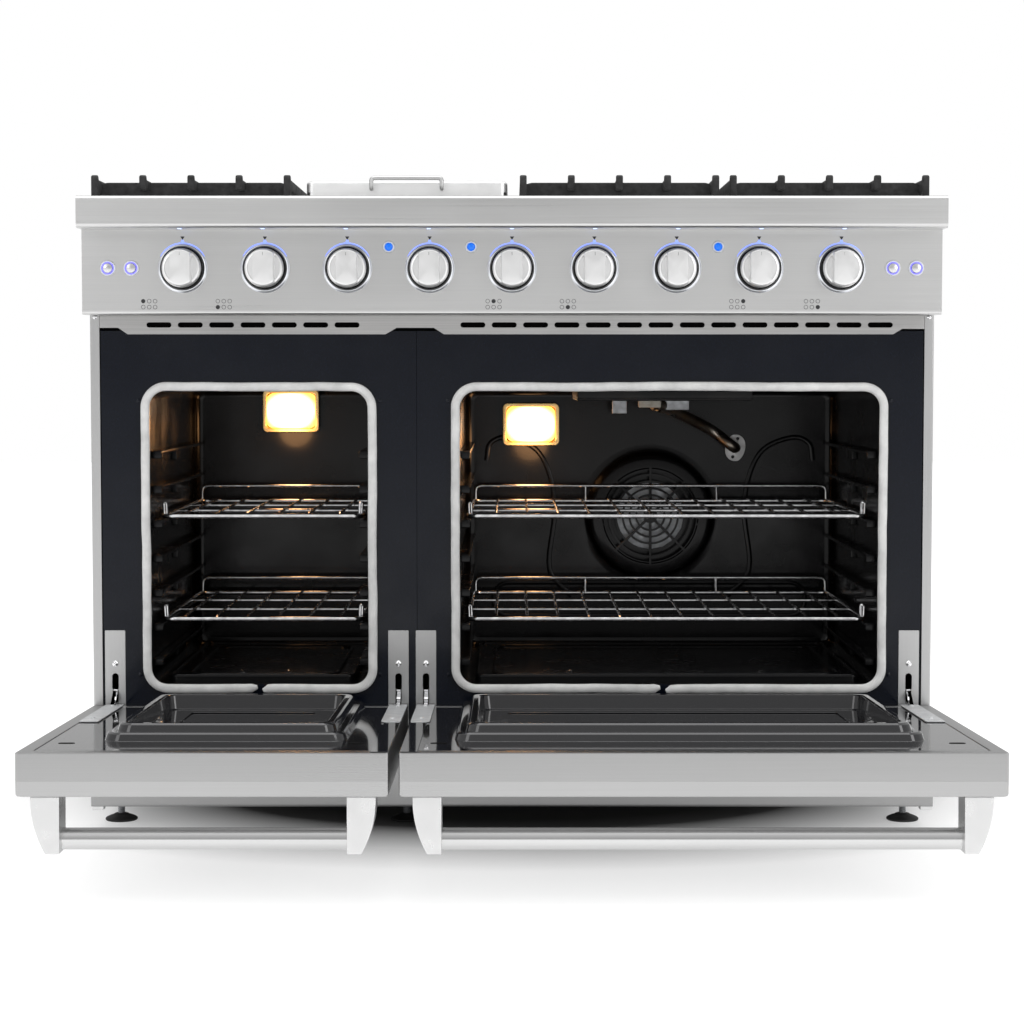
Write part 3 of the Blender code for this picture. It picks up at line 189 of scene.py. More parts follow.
def round_points(x, z, radius, count):
    """Points of a circle round (x, z)."""
    return [(x + radius * math.cos(a), z + radius * math.sin(a)) for a in circle(count)]


def circle(count, start=0.0, end=math.tau):
    """Angles at even steps from start towards end."""
    return [start + (end - start) * k / count for k in range(count)]


AXES = {"x": Matrix(((0, 0, 1, 0), (1, 0, 0, 0), (0, 1, 0, 0), (0, 0, 0, 1))),
        "y": Matrix(((1, 0, 0, 0), (0, 0, 1, 0), (0, 1, 0, 0), (0, 0, 0, 1))), "z": Matrix()}


def prism(name, outline, low, high, axis="x", soft=0.0, steps=2):
    """An outline of (y, z), (x, z) or (x, y) points, drawn out along x, y or z."""
    shape = bmesh.new()
    face = shape.faces.new([shape.verts.new((u, v, low)) for u, v in outline])
    drawn = bmesh.ops.extrude_face_region(shape, geom=[face])
    top = [item for item in drawn["geom"] if isinstance(item, bmesh.types.BMVert)]
    bmesh.ops.translate(shape, vec=(0, 0, high - low), verts=top)
    bmesh.ops.transform(shape, matrix=AXES[axis], verts=shape.verts)
    bmesh.ops.recalc_face_normals(shape, faces=shape.faces)
    if soft:
        bmesh.ops.bevel(shape, geom=shape.edges[:], offset=soft, segments=steps, profile=0.5, affect="EDGES")
    return from_shape(name, shape)


def cut_plate(name, loops, low, high, axis="y", soft=0.0):
    """A flat plate with holes: the first loop is its edge, the rest are holes."""
    curve = bpy.data.curves.new(name, "CURVE")
    curve.dimensions = "2D"
    curve.fill_mode = "BOTH"
    curve.extrude = (high - low) / 2 - soft
    curve.bevel_depth = soft
    curve.bevel_resolution = 1
    curve.offset = -soft
    for loop in loops:
        line = curve.splines.new("POLY")
        line.use_cyclic_u = True
        line.points.add(len(loop) - 1)
        for point, (u, v) in zip(line.points, loop):
            point.co = (u, v, 0.0, 1.0)
    plate = made_real(link(name, curve))
    moved(plate, AXES[axis] @ Matrix.Translation((0, 0, (low + high) / 2)))
    return merged(plate)


def merged(piece, distance=0.00002):
    """The piece with doubled points made one and its faces turned outwards."""
    shape = bmesh.new()
    shape.from_mesh(piece.data)
    bmesh.ops.remove_doubles(shape, verts=shape.verts, dist=distance)
    bmesh.ops.recalc_face_normals(shape, faces=shape.faces)
    shape.to_mesh(piece.data)
    shape.free()
    return piece


def round_corners(points, radius, steps=5, closed=False):
    """The same path with each inner corner turned into an arc."""
    points = [Vector(point) for point in points]
    count = len(points)
    path = []
    for i, corner in enumerate(points):
        if not closed and i in (0, count - 1):
            path.append(corner)
            continue
        before, after = points[i - 1] - corner, points[(i + 1) % count] - corner
        reach = min(radius, before.length * 0.49, after.length * 0.49)
        start, end = corner + before.normalized() * reach, corner + after.normalized() * reach
        for step in range(steps + 1):
            share = step / steps
            path.append(start.lerp(corner, share).lerp(corner.lerp(end, share), share))
    return path


def tube(name, path, radius, sides=12, closed=False, flat=1.0):
    """A round wire or pipe along a path; flat squeezes it across its second direction."""
    path = [Vector(point) for point in path]
    count = len(path)
    shape = bmesh.new()
    grain = shape.loops.layers.uv.new("along")
    rings, lengths = [], []
    normal, run = None, 0.0
    for i, point in enumerate(path):
        ahead = path[(i + 1) % count] if closed or i < count - 1 else point
        behind = path[i - 1] if closed or i > 0 else point
        tangent = (ahead - behind).normalized()
        if normal is None:
            normal = tangent.orthogonal().normalized()
            if flat != 1.0:
                normal = tangent.cross(Vector((0, 1, 0))).normalized()
        normal = (normal - tangent * normal.dot(tangent)).normalized()
        side = tangent.cross(normal)
        width = radius[i] if isinstance(radius, list) else radius
        rings.append([shape.verts.new(point + normal * math.cos(a) * width + side * math.sin(a) * width * flat)
                      for a in (math.tau * k / sides for k in range(sides))])
        run += (point - path[i - 1]).length if i else 0.0
        lengths.append(run)
    spans = list(zip(range(count - 1), range(1, count))) + ([(count - 1, 0)] if closed else [])
    for a, b in spans:
        far = lengths[b] if b else lengths[a] + (path[0] - path[a]).length
        for k in range(sides):
            m = (k + 1) % sides
            face = shape.faces.new((rings[a][k], rings[a][m], rings[b][m], rings[b][k]))
            for corner, u, v in zip(face.loops, (lengths[a], lengths[a], far, far), (k, k + 1, k + 1, k)):
                corner[grain].uv = (u, v / sides)
    if not closed:
        shape.faces.new(rings[0][::-1])
        shape.faces.new(rings[-1])
    return from_shape(name, shape)


TURN = {"z": Matrix(), "-y": Matrix.Rotation(math.radians(90), 4, "X"),
        "y": Matrix.Rotation(math.radians(-90), 4, "X"), "x": Matrix.Rotation(math.radians(90), 4, "Y"),
        "-x": Matrix.Rotation(math.radians(-90), 4, "Y")}


def lathe(name, profile, centre=(0, 0, 0), axis="z", sides=48):
    """A turned piece: (radius, height) from one end to the other, closed on its axis or round a ring."""
    shape = bmesh.new()
    ring_shaped = profile[0][0] > 0 and profile[-1][0] > 0
    rows = []
    for radius, height in profile:
        if radius <= 0:
            rows.append([shape.verts.new((0, 0, height))])
        else:
            rows.append([shape.verts.new((radius * math.cos(math.tau * k / sides),
                                          radius * math.sin(math.tau * k / sides), height)) for k in range(sides)])
    pairs = list(zip(rows, rows[1:])) + ([(rows[-1], rows[0])] if ring_shaped else [])
    for one, two in pairs:
        for k in range(sides):
            m = (k + 1) % sides
            corners = [one[k % len(one)], one[m % len(one)], two[m % len(two)], two[k % len(two)]]
            shape.faces.new(list(dict.fromkeys(corners)))
    bmesh.ops.transform(shape, matrix=Matrix.Translation(centre) @ TURN[axis], verts=shape.verts)
    return from_shape(name, shape)


def rounded_box(low, high, radius, steps=6):
    """Points of a rounded rectangle between (u, v) corners."""
    centres = ((high[0] - radius, high[1] - radius, 0), (low[0] + radius, high[1] - radius, 90),
               (low[0] + radius, low[1] + radius, 180), (high[0] - radius, low[1] + radius, 270))
    return [(u + radius * math.cos(math.radians(start + 90 * k / steps)),
             v + radius * math.sin(math.radians(start + 90 * k / steps)))
            for u, v, start in centres for k in range(steps + 1)]


def bent_sheet(name, line, low, high, bend=0.002, thickness=SHEET, axis="x", side=-1.0):
    """Sheet folded along a line of (y, z), (x, z) or (x, y) points, with rounded bends."""
    line = [(p.x, p.y) for p in round_corners([(u, v, 0) for u, v in line], bend, steps=4)]
    shape = bmesh.new()
    rows = [[shape.verts.new((u, v, w)) for u, v in line] for w in (low, high)]
    for i in range(len(line) - 1):
        shape.faces.new((rows[0][i], rows[0][i + 1], rows[1][i + 1], rows[1][i]))
    bmesh.ops.transform(shape, matrix=AXES[axis], verts=shape.verts)
    piece = from_shape(name, shape, outward=False)
    thickened(piece, thickness, side, even=True)
    return merged(made_real(piece))


def node_middle(node):
    """Middle of a solid's box."""
    low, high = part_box(node)
    return (low + high) / 2


# ---- Things that repeat ----
def copying_tree(name, inputs):
    """A tree that sets copies of a part on points, makes them real and gives them their finish."""
    tree = bpy.data.node_groups.new(name, "GeometryNodeTree")
    tree.interface.new_socket("Geometry", in_out="INPUT", socket_type="NodeSocketGeometry")
    tree.interface.new_socket("Geometry", in_out="OUTPUT", socket_type="NodeSocketGeometry")
    for label, kind in [("Part", "Object")] + inputs + [("Finish", "Material")]:
        tree.interface.new_socket(label, in_out="INPUT", socket_type="NodeSocket" + kind)
    given, out = tree.nodes.new("NodeGroupInput"), tree.nodes.new("NodeGroupOutput")
    part, copies, real, paint = (tree.nodes.new("GeometryNode" + kind) for kind in (
        "ObjectInfo", "InstanceOnPoints", "RealizeInstances", "SetMaterial"))
    tree.links.new(given.outputs["Part"], part.inputs["Object"])
    tree.links.new(part.outputs["Geometry"], copies.inputs["Instance"])
    tree.links.new(copies.outputs["Instances"], real.inputs["Geometry"])
    tree.links.new(real.outputs["Geometry"], paint.inputs["Geometry"])
    tree.links.new(given.outputs["Finish"], paint.inputs["Material"])
    tree.links.new(paint.outputs["Geometry"], out.inputs["Geometry"])
    return tree, given.outputs, copies.inputs


def scatter_tree():
    """A part at every point of a mesh."""
    tree, given, copies = copying_tree("part_at_points", [("Scale", "Float")])
    tree.links.new(given["Geometry"], copies["Points"])
    tree.links.new(given["Scale"], copies["Scale"])
    return tree


def row_tree():
    """A part repeated in a straight row."""
    tree, given, copies = copying_tree("part_in_row", [("Count", "Int"), ("Start", "Vector"), ("Step", "Vector")])
    line = tree.nodes.new("GeometryNodeMeshLine")
    for label, target in (("Count", "Count"), ("Start", "Start Location"), ("Step", "Offset")):
        tree.links.new(given[label], line.inputs[target])
    tree.links.new(line.outputs["Mesh"], copies["Points"])
    return tree


def ring_tree():
    """A part repeated round the z axis, each copy turned to face outwards."""
    tree, given, copies = copying_tree("part_in_ring", [("Count", "Int")])
    line = tree.nodes.new("GeometryNodeMeshLine")
    line.inputs["Offset"].default_value = (0, 0, 0)
    index = tree.nodes.new("GeometryNodeInputIndex")
    share, angle = tree.nodes.new("ShaderNodeMath"), tree.nodes.new("ShaderNodeMath")
    share.operation, angle.operation = "DIVIDE", "MULTIPLY"
    angle.inputs[1].default_value = math.tau
    turn = tree.nodes.new("ShaderNodeCombineXYZ")
    tree.links.new(given["Count"], line.inputs["Count"])
    tree.links.new(line.outputs["Mesh"], copies["Points"])
    tree.links.new(index.outputs["Index"], share.inputs[0])
    tree.links.new(given["Count"], share.inputs[1])
    tree.links.new(share.outputs[0], angle.inputs[0])
    tree.links.new(angle.outputs[0], turn.inputs["Z"])
    tree.links.new(turn.outputs["Vector"], copies["Rotation"])
    return tree


def grown(name, tree, finish, start=None, **values):
    """Run one of the trees and keep the result as a plain mesh; the part it copies is used up."""
    host = link(name, start or bpy.data.meshes.new(name))
    step = host.modifiers.new("Repeat", "NODES")
    step.node_group = tree
    values["Finish"] = FINISH[finish]
    for item in tree.interface.items_tree:
        if item.in_out == "INPUT" and item.name in values:
            step[item.identifier] = values[item.name]
    host.update_tag()
    bpy.context.view_layer.update()
    made = made_real(host)
    if bpy.data.objects.get(values["Part"].name):
        bpy.data.objects.remove(values["Part"], do_unlink=True)
    return made


def at_points(name, part, points, finish, scale=1.0):
    """The part once at each point."""
    start = bpy.data.meshes.new(name)
    start.from_pydata([tuple(point) for point in points], [], [])
    return grown(name, SCATTER, finish, start=start, Part=part, Scale=scale)


def sown(name, part, spots, finish, body, **how):
    """Copies of a small part at several places, as one finished piece."""
    return put(at_points(name, part, spots, finish), body, finish, **how)


def in_row(name, part, count, start, step, finish):
    """The part count times, a step apart."""
    return grown(name, ROW, finish, Part=part, Count=count, Start=start, Step=step)


def in_ring(name, part, count, finish):
    """The part count times round the z axis."""
    return grown(name, RING, finish, Part=part, Count=count)


SCATTER, ROW, RING = scatter_tree(), row_tree(), ring_tree()


# ---- Finishes ----
class Paint:
    """A node material built step by step round its Principled shader."""

    def __init__(self, name, colour, rough, metal=0.0, **extra):
        self.material = bpy.data.materials.new(name)
        self.material.use_nodes = True
        self.tree = self.material.node_tree
        self.shader = self.tree.nodes["Principled BSDF"]
        self.shader.inputs["Base Color"].default_value = (*colour, 1.0)
        self.shader.inputs["Roughness"].default_value = rough
        self.shader.inputs["Metallic"].default_value = metal
        for socket, value in extra.items():
            self.shader.inputs[socket.replace("_", " ")].default_value = value
        self.colour, self.rough = colour, rough
        self.place = None
        FINISH[name] = self.material

    def node(self, kind, **values):
        made = self.tree.nodes.new("ShaderNode" + kind)
        for key, value in values.items():
            if key in made.inputs:
                made.inputs[key].default_value = value
            else:
                setattr(made, key, value)
        return made

    def wire(self, source, target):
        self.tree.links.new(source, target)

    def where(self, scale=(1, 1, 1)):
        """Object coordinates, stretched."""
        if self.place is None:
            self.place = self.node("TexCoord").outputs["Object"]
        mapping = self.node("Mapping")
        mapping.inputs["Scale"].default_value = scale
        self.wire(self.place, mapping.inputs["Vector"])
        return mapping.outputs["Vector"]

    def clouds(self, scale, stretch=(1, 1, 1), detail=4.0, rough=0.5):
        made = self.node("TexNoise", Scale=scale, Detail=detail, Roughness=rough)
        self.wire(self.where(stretch), made.inputs["Vector"])
        return made.outputs["Fac"]

    def between(self, value, low, high, start=0.0, end=1.0):
        """The value's range start to end carried to low to high."""
        made = self.node("MapRange")
        for key, number in (("From Min", start), ("From Max", end), ("To Min", low), ("To Max", high)):
            made.inputs[key].default_value = number
        self.wire(value, made.inputs["Value"])
        return made.outputs["Result"]

    def tint(self, value, dark, light, start=0.3, end=0.7):
        """Colour that runs from dark to light with the value."""
        ramp = self.node("ValToRGB")
        ramp.color_ramp.elements[0].position = start
        ramp.color_ramp.elements[1].position = end
        ramp.color_ramp.elements[0].color = (*dark, 1.0)
        ramp.color_ramp.elements[1].color = (*light, 1.0)
        self.wire(value, ramp.inputs["Fac"])
        self.wire(ramp.outputs["Color"], self.shader.inputs["Base Color"])
        return ramp.outputs["Color"]

    def roughened(self, value, low, high, start=0.3, end=0.7):
        self.wire(self.between(value, low, high, start, end), self.shader.inputs["Roughness"])

    def relief(self, value, depth, strength=1.0):
        """Bump; each further relief lies on the one before."""
        bump = self.node("Bump", Strength=strength, Distance=depth)
        self.wire(value, bump.inputs["Height"])
        if self.shader.inputs["Normal"].links:
            self.wire(self.shader.inputs["Normal"].links[0].from_socket, bump.inputs["Normal"])
        self.wire(bump.outputs["Normal"], self.shader.inputs["Normal"])


def brushed(name, colour, rough, grain, cloud=0.04):
    """Steel with fine grain lines along one direction, faint clouding and wiped marks."""
    paint = Paint(name, colour, rough, 1.0, Anisotropic=0.35)
    lines = paint.clouds(1.0, grain, detail=6.0, rough=0.65)
    fog = paint.clouds(3.0, (1, 1, 1), detail=3.0)
    mix = paint.node("Math", operation="MULTIPLY_ADD")
    mix.inputs[1].default_value = 0.5
    paint.wire(lines, mix.inputs[0])
    half = paint.node("Math", operation="MULTIPLY")
    half.inputs[1].default_value = 0.5
    paint.wire(fog, half.inputs[0])
    paint.wire(half.outputs[0], mix.inputs[2])
    dark = tuple(c * (1 - 2 * cloud) for c in colour)
    light = tuple(min(1.0, c * (1 + cloud)) for c in colour)
    paint.tint(mix.outputs[0], dark, light)
    paint.roughened(mix.outputs[0], rough - 0.05, rough + 0.07)
    paint.relief(lines, 0.00005, 0.35)
    return paint


def clouded(name, colour, rough, metal=0.0, spread=(), tint=(), reliefs=(), **extra):
    """A finish whose roughness, colour and relief follow clouds: each has their scale and detail, then its values."""
    paint = Paint(name, colour, rough, metal, **extra)
    if spread:
        paint.roughened(paint.clouds(spread[0], detail=spread[1]), *spread[2:])
    if tint:
        paint.tint(paint.clouds(tint[0], detail=tint[1]), *tint[2:])
    for scale, detail, *values in reliefs:
        paint.relief(paint.clouds(scale, detail=detail), *values)
    return paint


def make_metals():
    """Brushed, satin and plated steel, galvanised sheet, cast metals and brass."""
    brushed("steel_across", (0.62, 0.62, 0.617), 0.30, (4, 900, 900))
    brushed("steel_upright", (0.49, 0.49, 0.49), 0.30, (900, 900, 4))
    brushed("steel_deep", (0.60, 0.60, 0.60), 0.34, (900, 4, 900))
    brushed("steel_cloudy", (0.47, 0.465, 0.46), 0.36, (6, 700, 700), cloud=0.14)
    brushed("handle_steel", (0.60, 0.60, 0.60), 0.16, (5, 900, 900))
    brushed("door_steel", (0.42, 0.42, 0.42), 0.30, (4, 900, 900))
    brushed("kick_steel", (0.36, 0.36, 0.36), 0.36, (5, 900, 900))
    brushed("hinge_plate", (0.52, 0.52, 0.52), 0.34, (900, 900, 5))
    clouded("handle_satin", (0.68, 0.68, 0.68), 0.30, 1.0, (50.0, 6.0, 0.25, 0.36), (), [(800.0, 3.0, 0.00003, 0.3)])
    clouded("bezel_satin", (0.86, 0.88, 0.92), 0.34, 1.0, (40.0, 4.0, 0.30, 0.38))
    clouded("bright_zinc", (0.66, 0.67, 0.68), 0.42, 0.35, (), (60.0, 4.0, (0.58, 0.59, 0.60), (0.72, 0.73, 0.74)))
    clouded("scorched_steel", (0.016, 0.016, 0.018), 0.5, 0.6, (),
            (18.0, 4.0, (0.010, 0.010, 0.011), (0.024, 0.023, 0.022)))
    lid = clouded("lid_satin", (0.94, 0.94, 0.94), 0.42, 1.0, (40.0, 6.0, 0.36, 0.48))
    lid.relief(lid.clouds(1.0, (6, 700, 700), detail=5.0), 0.00003, 0.3)
    clouded("satin_steel", (0.80, 0.80, 0.80), 0.38, 1.0, (60.0, 6.0, 0.32, 0.44), (), [(900.0, 3.0, 0.00003, 0.3)])
    clouded("chrome", (0.86, 0.86, 0.87), 0.07, 1.0, (35.0, 5.0, 0.05, 0.11))
    clouded("chrome_wire", (0.74, 0.74, 0.75), 0.16, 1.0, (160.0, 4.0, 0.10, 0.26),
            (90.0, 5.0, (0.55, 0.55, 0.56), (0.80, 0.80, 0.81), 0.35, 0.65))
    clouded("cast_iron", (0.016, 0.016, 0.0165), 0.62, 0.0, (90.0, 6.0, 0.50, 0.78),
            (120.0, 7.0, (0.010, 0.010, 0.010), (0.030, 0.030, 0.031), 0.35, 0.72), [(650.0, 4.0, 0.00025, 0.55)],
            Specular_IOR_Level=0.45)
    clouded("burner_steel", (0.40, 0.37, 0.33), 0.34, 1.0, (45.0, 5.0, 0.24, 0.50),
            (16.0, 6.0, (0.20, 0.16, 0.12), (0.55, 0.50, 0.44), 0.30, 0.66))
    clouded("cast_alloy", (0.52, 0.52, 0.52), 0.48, 1.0, (80.0, 5.0, 0.40, 0.60), (), [(900.0, 3.0, 0.00012, 0.5)])
    clouded("burner_cap", (0.012, 0.012, 0.012), 0.42, 0.0, (40.0, 5.0, 0.34, 0.55), (), [(500.0, 3.0, 0.00008, 0.4)])
    clouded("brass", (0.70, 0.50, 0.22), 0.30, 1.0, (60.0, 5.0, 0.22, 0.40))

    galvanised = Paint("galvanised", (0.44, 0.45, 0.46), 0.45, 1.0)
    spangle = galvanised.node("TexVoronoi", Scale=130.0, Randomness=1.0)
    galvanised.wire(galvanised.where(), spangle.inputs["Vector"])
    galvanised.tint(spangle.outputs["Color"], (0.40, 0.41, 0.42), (0.49, 0.50, 0.52), 0.1, 0.9)
    galvanised.roughened(spangle.outputs["Distance"], 0.36, 0.55, 0.0, 0.6)


def make_other_finishes():
    """Enamel, glass, rope, wool, plastic, rubber, ink and ceramic."""
    for name, colour, gloss in (("enamel", (0.0028, 0.0042, 0.0090), 0.16),
                                ("oven_enamel", (0.0025, 0.0025, 0.0030), 0.20)):
        clouded(name, colour, gloss, 0.0, (14.0, 6.0, gloss - 0.06, gloss + 0.10),
                (700.0, 2.0, colour, tuple(c * 2.2 for c in colour), 0.60, 0.74),
                [(26.0, 2.0, 0.0004, 0.12), (420.0, 3.0, 0.00003, 0.25)],
                Specular_IOR_Level=0.20, Coat_Weight=0.06, Coat_Roughness=0.06)
    clouded("door_enamel", (0.010, 0.010, 0.012), 0.07, 0.0, (9.0, 5.0, 0.05, 0.12),
            (800.0, 2.0, (0.010, 0.010, 0.012), (0.03, 0.03, 0.034), 0.62, 0.76), [(18.0, 2.0, 0.0005, 0.08)],
            Specular_IOR_Level=0.5, Coat_Weight=0.6, Coat_Roughness=0.03)
    clouded("oven_glass", (0.018, 0.018, 0.020), 0.04, 0.0, (8.0, 4.0, 0.03, 0.07),
            Specular_IOR_Level=0.5, Coat_Weight=0.4)
    clouded("insulation", (0.30, 0.27, 0.16), 0.95, 0.0, (),
            (60.0, 7.0, (0.20, 0.17, 0.08), (0.42, 0.38, 0.24), 0.3, 0.7), [(180.0, 6.0, 0.002, 0.6)],
            Specular_IOR_Level=0.1)
    clouded("black_plastic", (0.006, 0.006, 0.007), 0.42, 0.0, (120.0, 5.0, 0.14, 0.28), Specular_IOR_Level=0.15)
    clouded("rubber", (0.012, 0.012, 0.012), 0.62, 0.0, (60.0, 5.0, 0.5, 0.75), (), [(700.0, 3.0, 0.0001, 0.4)])
    # Painted shade: a flat near-black for holes, gaps and hollows that are only in shade.
    clouded("dark_gap", (0.004, 0.004, 0.004), 0.9, 0.0, (50.0, 4.0, 0.8, 1.0), Specular_IOR_Level=0.1)
    clouded("printed_ink", (0.018, 0.018, 0.020), 0.5, 0.0, (300.0, 4.0, 0.4, 0.6))
    clouded("ceramic", (0.74, 0.70, 0.62), 0.55, 0.0, (),
            (70.0, 5.0, (0.60, 0.55, 0.46), (0.80, 0.77, 0.70), 0.3, 0.7), [(600.0, 4.0, 0.0001, 0.4)])

    rope = clouded("gasket_rope", (0.70, 0.70, 0.69), 0.92, 0.0, (),
                   (40.0, 5.0, (0.60, 0.60, 0.595), (0.80, 0.80, 0.79), 0.3, 0.7), Specular_IOR_Level=0.2)
    grain = rope.node("UVMap", uv_map="along").outputs["UV"]
    weave = rope.node("Math", operation="MAXIMUM")
    for strand_input, slope in zip(weave.inputs, (1.0, -1.0)):
        lay = rope.node("Mapping")
        lay.inputs["Scale"].default_value = (150.0, slope * 3.0, 1.0)
        rope.wire(grain, lay.inputs["Vector"])
        strand = rope.node("TexWave", Scale=2.0, Distortion=0.6, Detail=1.0)
        strand.bands_direction = "DIAGONAL"
        rope.wire(lay.outputs["Vector"], strand.inputs["Vector"])
        rope.wire(strand.outputs["Fac"], strand_input)
    rope.relief(weave.outputs[0], 0.0006, 0.5)
    rope.relief(rope.clouds(1200.0, detail=3.0), 0.0003, 0.5)


def glow(name, colour, light, strength):
    """A lit lens; the same recipe also makes the painted glow that stands for light cast on the panel round the
    knobs.
    """
    paint = Paint(name, colour, 0.25)
    paint.shader.inputs["Emission Color"].default_value = (*light, 1.0)
    paint.shader.inputs["Emission Strength"].default_value = strength
    ripple = paint.clouds(220.0, detail=3.0)
    paint.roughened(ripple, 0.18, 0.32)
    paint.relief(ripple, 0.00005, 0.3)


def lamp_glow():
    """Ribbed lamp glass: the bulb's white middle and an amber edge, from its own map."""
    paint = Paint("lamp_glass", (1.0, 0.80, 0.50), 0.18)
    spot = paint.node("UVMap", uv_map="spot").outputs["UV"]
    away = paint.node("VectorMath", operation="LENGTH")
    paint.wire(spot, away.inputs[0])
    ramp = paint.node("ValToRGB")
    ramp.color_ramp.elements[0].position = 0.55
    ramp.color_ramp.elements[0].color = (1.0, 0.88, 0.66, 1.0)
    ramp.color_ramp.elements[1].position = 1.0
    ramp.color_ramp.elements[1].color = (1.0, 0.34, 0.06, 1.0)
    paint.wire(away.outputs["Value"], ramp.inputs["Fac"])
    paint.wire(ramp.outputs["Color"], paint.shader.inputs["Emission Color"])
    paint.shader.inputs["Emission Strength"].default_value = 4.0
    wave = paint.node("TexWave", Scale=90.0)
    paint.wire(paint.where(), wave.inputs["Vector"])
    paint.relief(wave.outputs["Fac"], 0.0004, 0.5)


make_metals()
make_other_finishes()
glow("blue_light", (0.004, 0.13, 0.70), (0.0, 0.20, 0.90), 0.42)
# Painted light: this glow is no lamp; it stands for the blue light cast on the panel round the knobs.
glow("halo_light", (0.24, 0.30, 0.90), (0.20, 0.30, 1.0), 1.1)
glow("spark_light", (0.60, 0.72, 1.0), (0.40, 0.52, 1.0), 2.0)
glow("button_light", (0.25, 0.22, 0.85), (0.25, 0.24, 1.0), 0.8)
lamp_glow()


# ---- Camera, lights and floor ----
def make_studio():
    """Camera, a pale floor with a painted shadow under the range and painted glow round it, white surroundings, three
    soft lights and the ovens' two lamps.
    """
    camera = bpy.data.objects.new("camera", bpy.data.cameras.new("camera"))
    camera.location = (0, -3.471, 0.6627)
    camera.rotation_euler = (math.radians(90 - 3.362), 0, 0)
    camera.data.lens = 83.78
    bpy.context.scene.collection.objects.link(camera)
    bpy.context.scene.camera = camera
    bpy.context.scene.view_settings.view_transform = "Standard"

    shape = bmesh.new()
    bmesh.ops.create_grid(shape, x_segments=2, y_segments=2, size=14.0)
    floor = from_shape("studio_floor", shape, outward=False)
    pale = Paint("pale_floor", (0.62, 0.62, 0.62), 0.8)
    spread = pale.node("VectorMath", operation="LENGTH")
    shadow_field = pale.node("Mapping")
    shadow_field.inputs["Location"].default_value = (0, -0.30, 0)
    shadow_field.inputs["Scale"].default_value = (0.72, 1.0, 1.0)
    pale.wire(pale.where(), shadow_field.inputs["Vector"])
    pale.wire(shadow_field.outputs["Vector"], spread.inputs[0])
    # Painted light: the floor glows more the farther it lies from the range, so it stays white under the open doors,
    # where they would shade it.
    pale.shader.inputs["Emission Color"].default_value = (1, 1, 1, 1)
    pale.wire(pale.between(spread.outputs["Value"], 0.0, 0.68, 0.34, 0.64), pale.shader.inputs["Emission Strength"])
    # Painted shadow: the floor's colour darkens close round and under the range, a contact shadow.
    pale.tint(spread.outputs["Value"], (0.14, 0.14, 0.14), (0.62, 0.62, 0.62), 0.27, 0.50)
    floor.data.materials.append(pale.material)

    world = bpy.data.worlds.new("studio")
    bpy.context.scene.world = world
    world.use_nodes = True
    tree = world.node_tree
    back = tree.nodes["Background"]
    back.inputs["Strength"].default_value = 1.0
    white = tree.nodes.new("ShaderNodeBackground")
    white.inputs["Color"].default_value = (1, 1, 1, 1)
    seen = tree.nodes.new("ShaderNodeLightPath")
    either = tree.nodes.new("ShaderNodeMixShader")
    split = tree.nodes.new("ShaderNodeSeparateXYZ")
    place = tree.nodes.new("ShaderNodeTexCoord")
    ramp = tree.nodes.new("ShaderNodeValToRGB")
    for position, level in ((0.0, 0.60), (0.42, 0.60), (0.54, 0.50), (0.74, 0.66), (1.0, 0.95)):
        stop = ramp.color_ramp.elements.new(position) if position not in (0.0, 1.0) else \
            ramp.color_ramp.elements[int(position)]
        stop.color = (level, level, level, 1.0)
    height = tree.nodes.new("ShaderNodeMapRange")
    height.inputs["From Min"].default_value = -1.0
    tree.links.new(place.outputs["Generated"], split.inputs["Vector"])
    tree.links.new(split.outputs["Z"], height.inputs["Value"])
    tree.links.new(height.outputs["Result"], ramp.inputs["Fac"])
    tree.links.new(ramp.outputs["Color"], back.inputs["Color"])
    tree.links.new(seen.outputs["Is Camera Ray"], either.inputs["Fac"])
    tree.links.new(back.outputs["Background"], either.inputs[1])
    tree.links.new(white.outputs["Background"], either.inputs[2])
    tree.links.new(either.outputs["Shader"], tree.nodes["World Output"].inputs["Surface"])

    soft_light("overhead_light", (0, -0.4, 2.7), (0, 0, 0.4), (2.6, 2.2), 26)
    soft_light("front_left_light", (-2.2, -2.9, 1.9), (0, -0.2, 0.5), (1.3, 1.9), 13)
    soft_light("front_right_light", (2.4, -2.7, 1.6), (0, -0.2, 0.5), (1.1, 1.8), 19)
    for side, x, z in (("left", -0.363, 0.585), ("right", 0.031, 0.563)):
        warm = bpy.data.objects.new(side + "_lamp_light", bpy.data.lights.new(side + "_lamp_light", "POINT"))
        warm.data.energy = 0.45
        warm.data.color = (1.0, 0.50, 0.20)
        warm.data.shadow_soft_size = 0.03
        warm.location = (x, FRONT + OVEN_DEPTH - 0.075, z - 0.02)
        bpy.context.scene.collection.objects.link(warm)


def soft_light(name, place, aim, size, energy):
    """A square light that faces its aim."""
    light = bpy.data.objects.new(name, bpy.data.lights.new(name, "AREA"))
    light.data.shape = "RECTANGLE"
    light.data.size, light.data.size_y = size
    light.data.energy = energy
    light.location = place
    light.rotation_euler = (Vector(aim) - Vector(place)).to_track_quat("-Z", "Y").to_euler()
    bpy.context.scene.collection.objects.link(light)


make_studio()


# ---- Cooktop rail, tray and control panel ----
DOOR_PLACE = Matrix.Translation((0, HINGE.y, HINGE.z)) @ Matrix.Rotation(DOOR_OPEN, 4, "X")
RAIL_BOTTOM = PANEL_HIGH.z
PANEL_FACE = PANEL_LOW.y
KNOBS = ["rear_left_burner_knob", "front_left_burner_knob", "left_oven_knob", "griddle_knob",
         "rear_middle_burner_knob", "front_middle_burner_knob", "right_oven_knob",
         "rear_right_burner_knob", "front_right_burner_knob"]
BUTTONS = ["left_oven_light_button", "panel_light_button", "right_oven_light_button", "convection_fan_button"]
INDICATORS = (-0.1741, -0.0578, 0.2911)
ICONS = ((-0.513, 0), (-0.4075, 3), (-0.026, 1), (0.079, 4), (0.3185, 2), (0.424, 5))


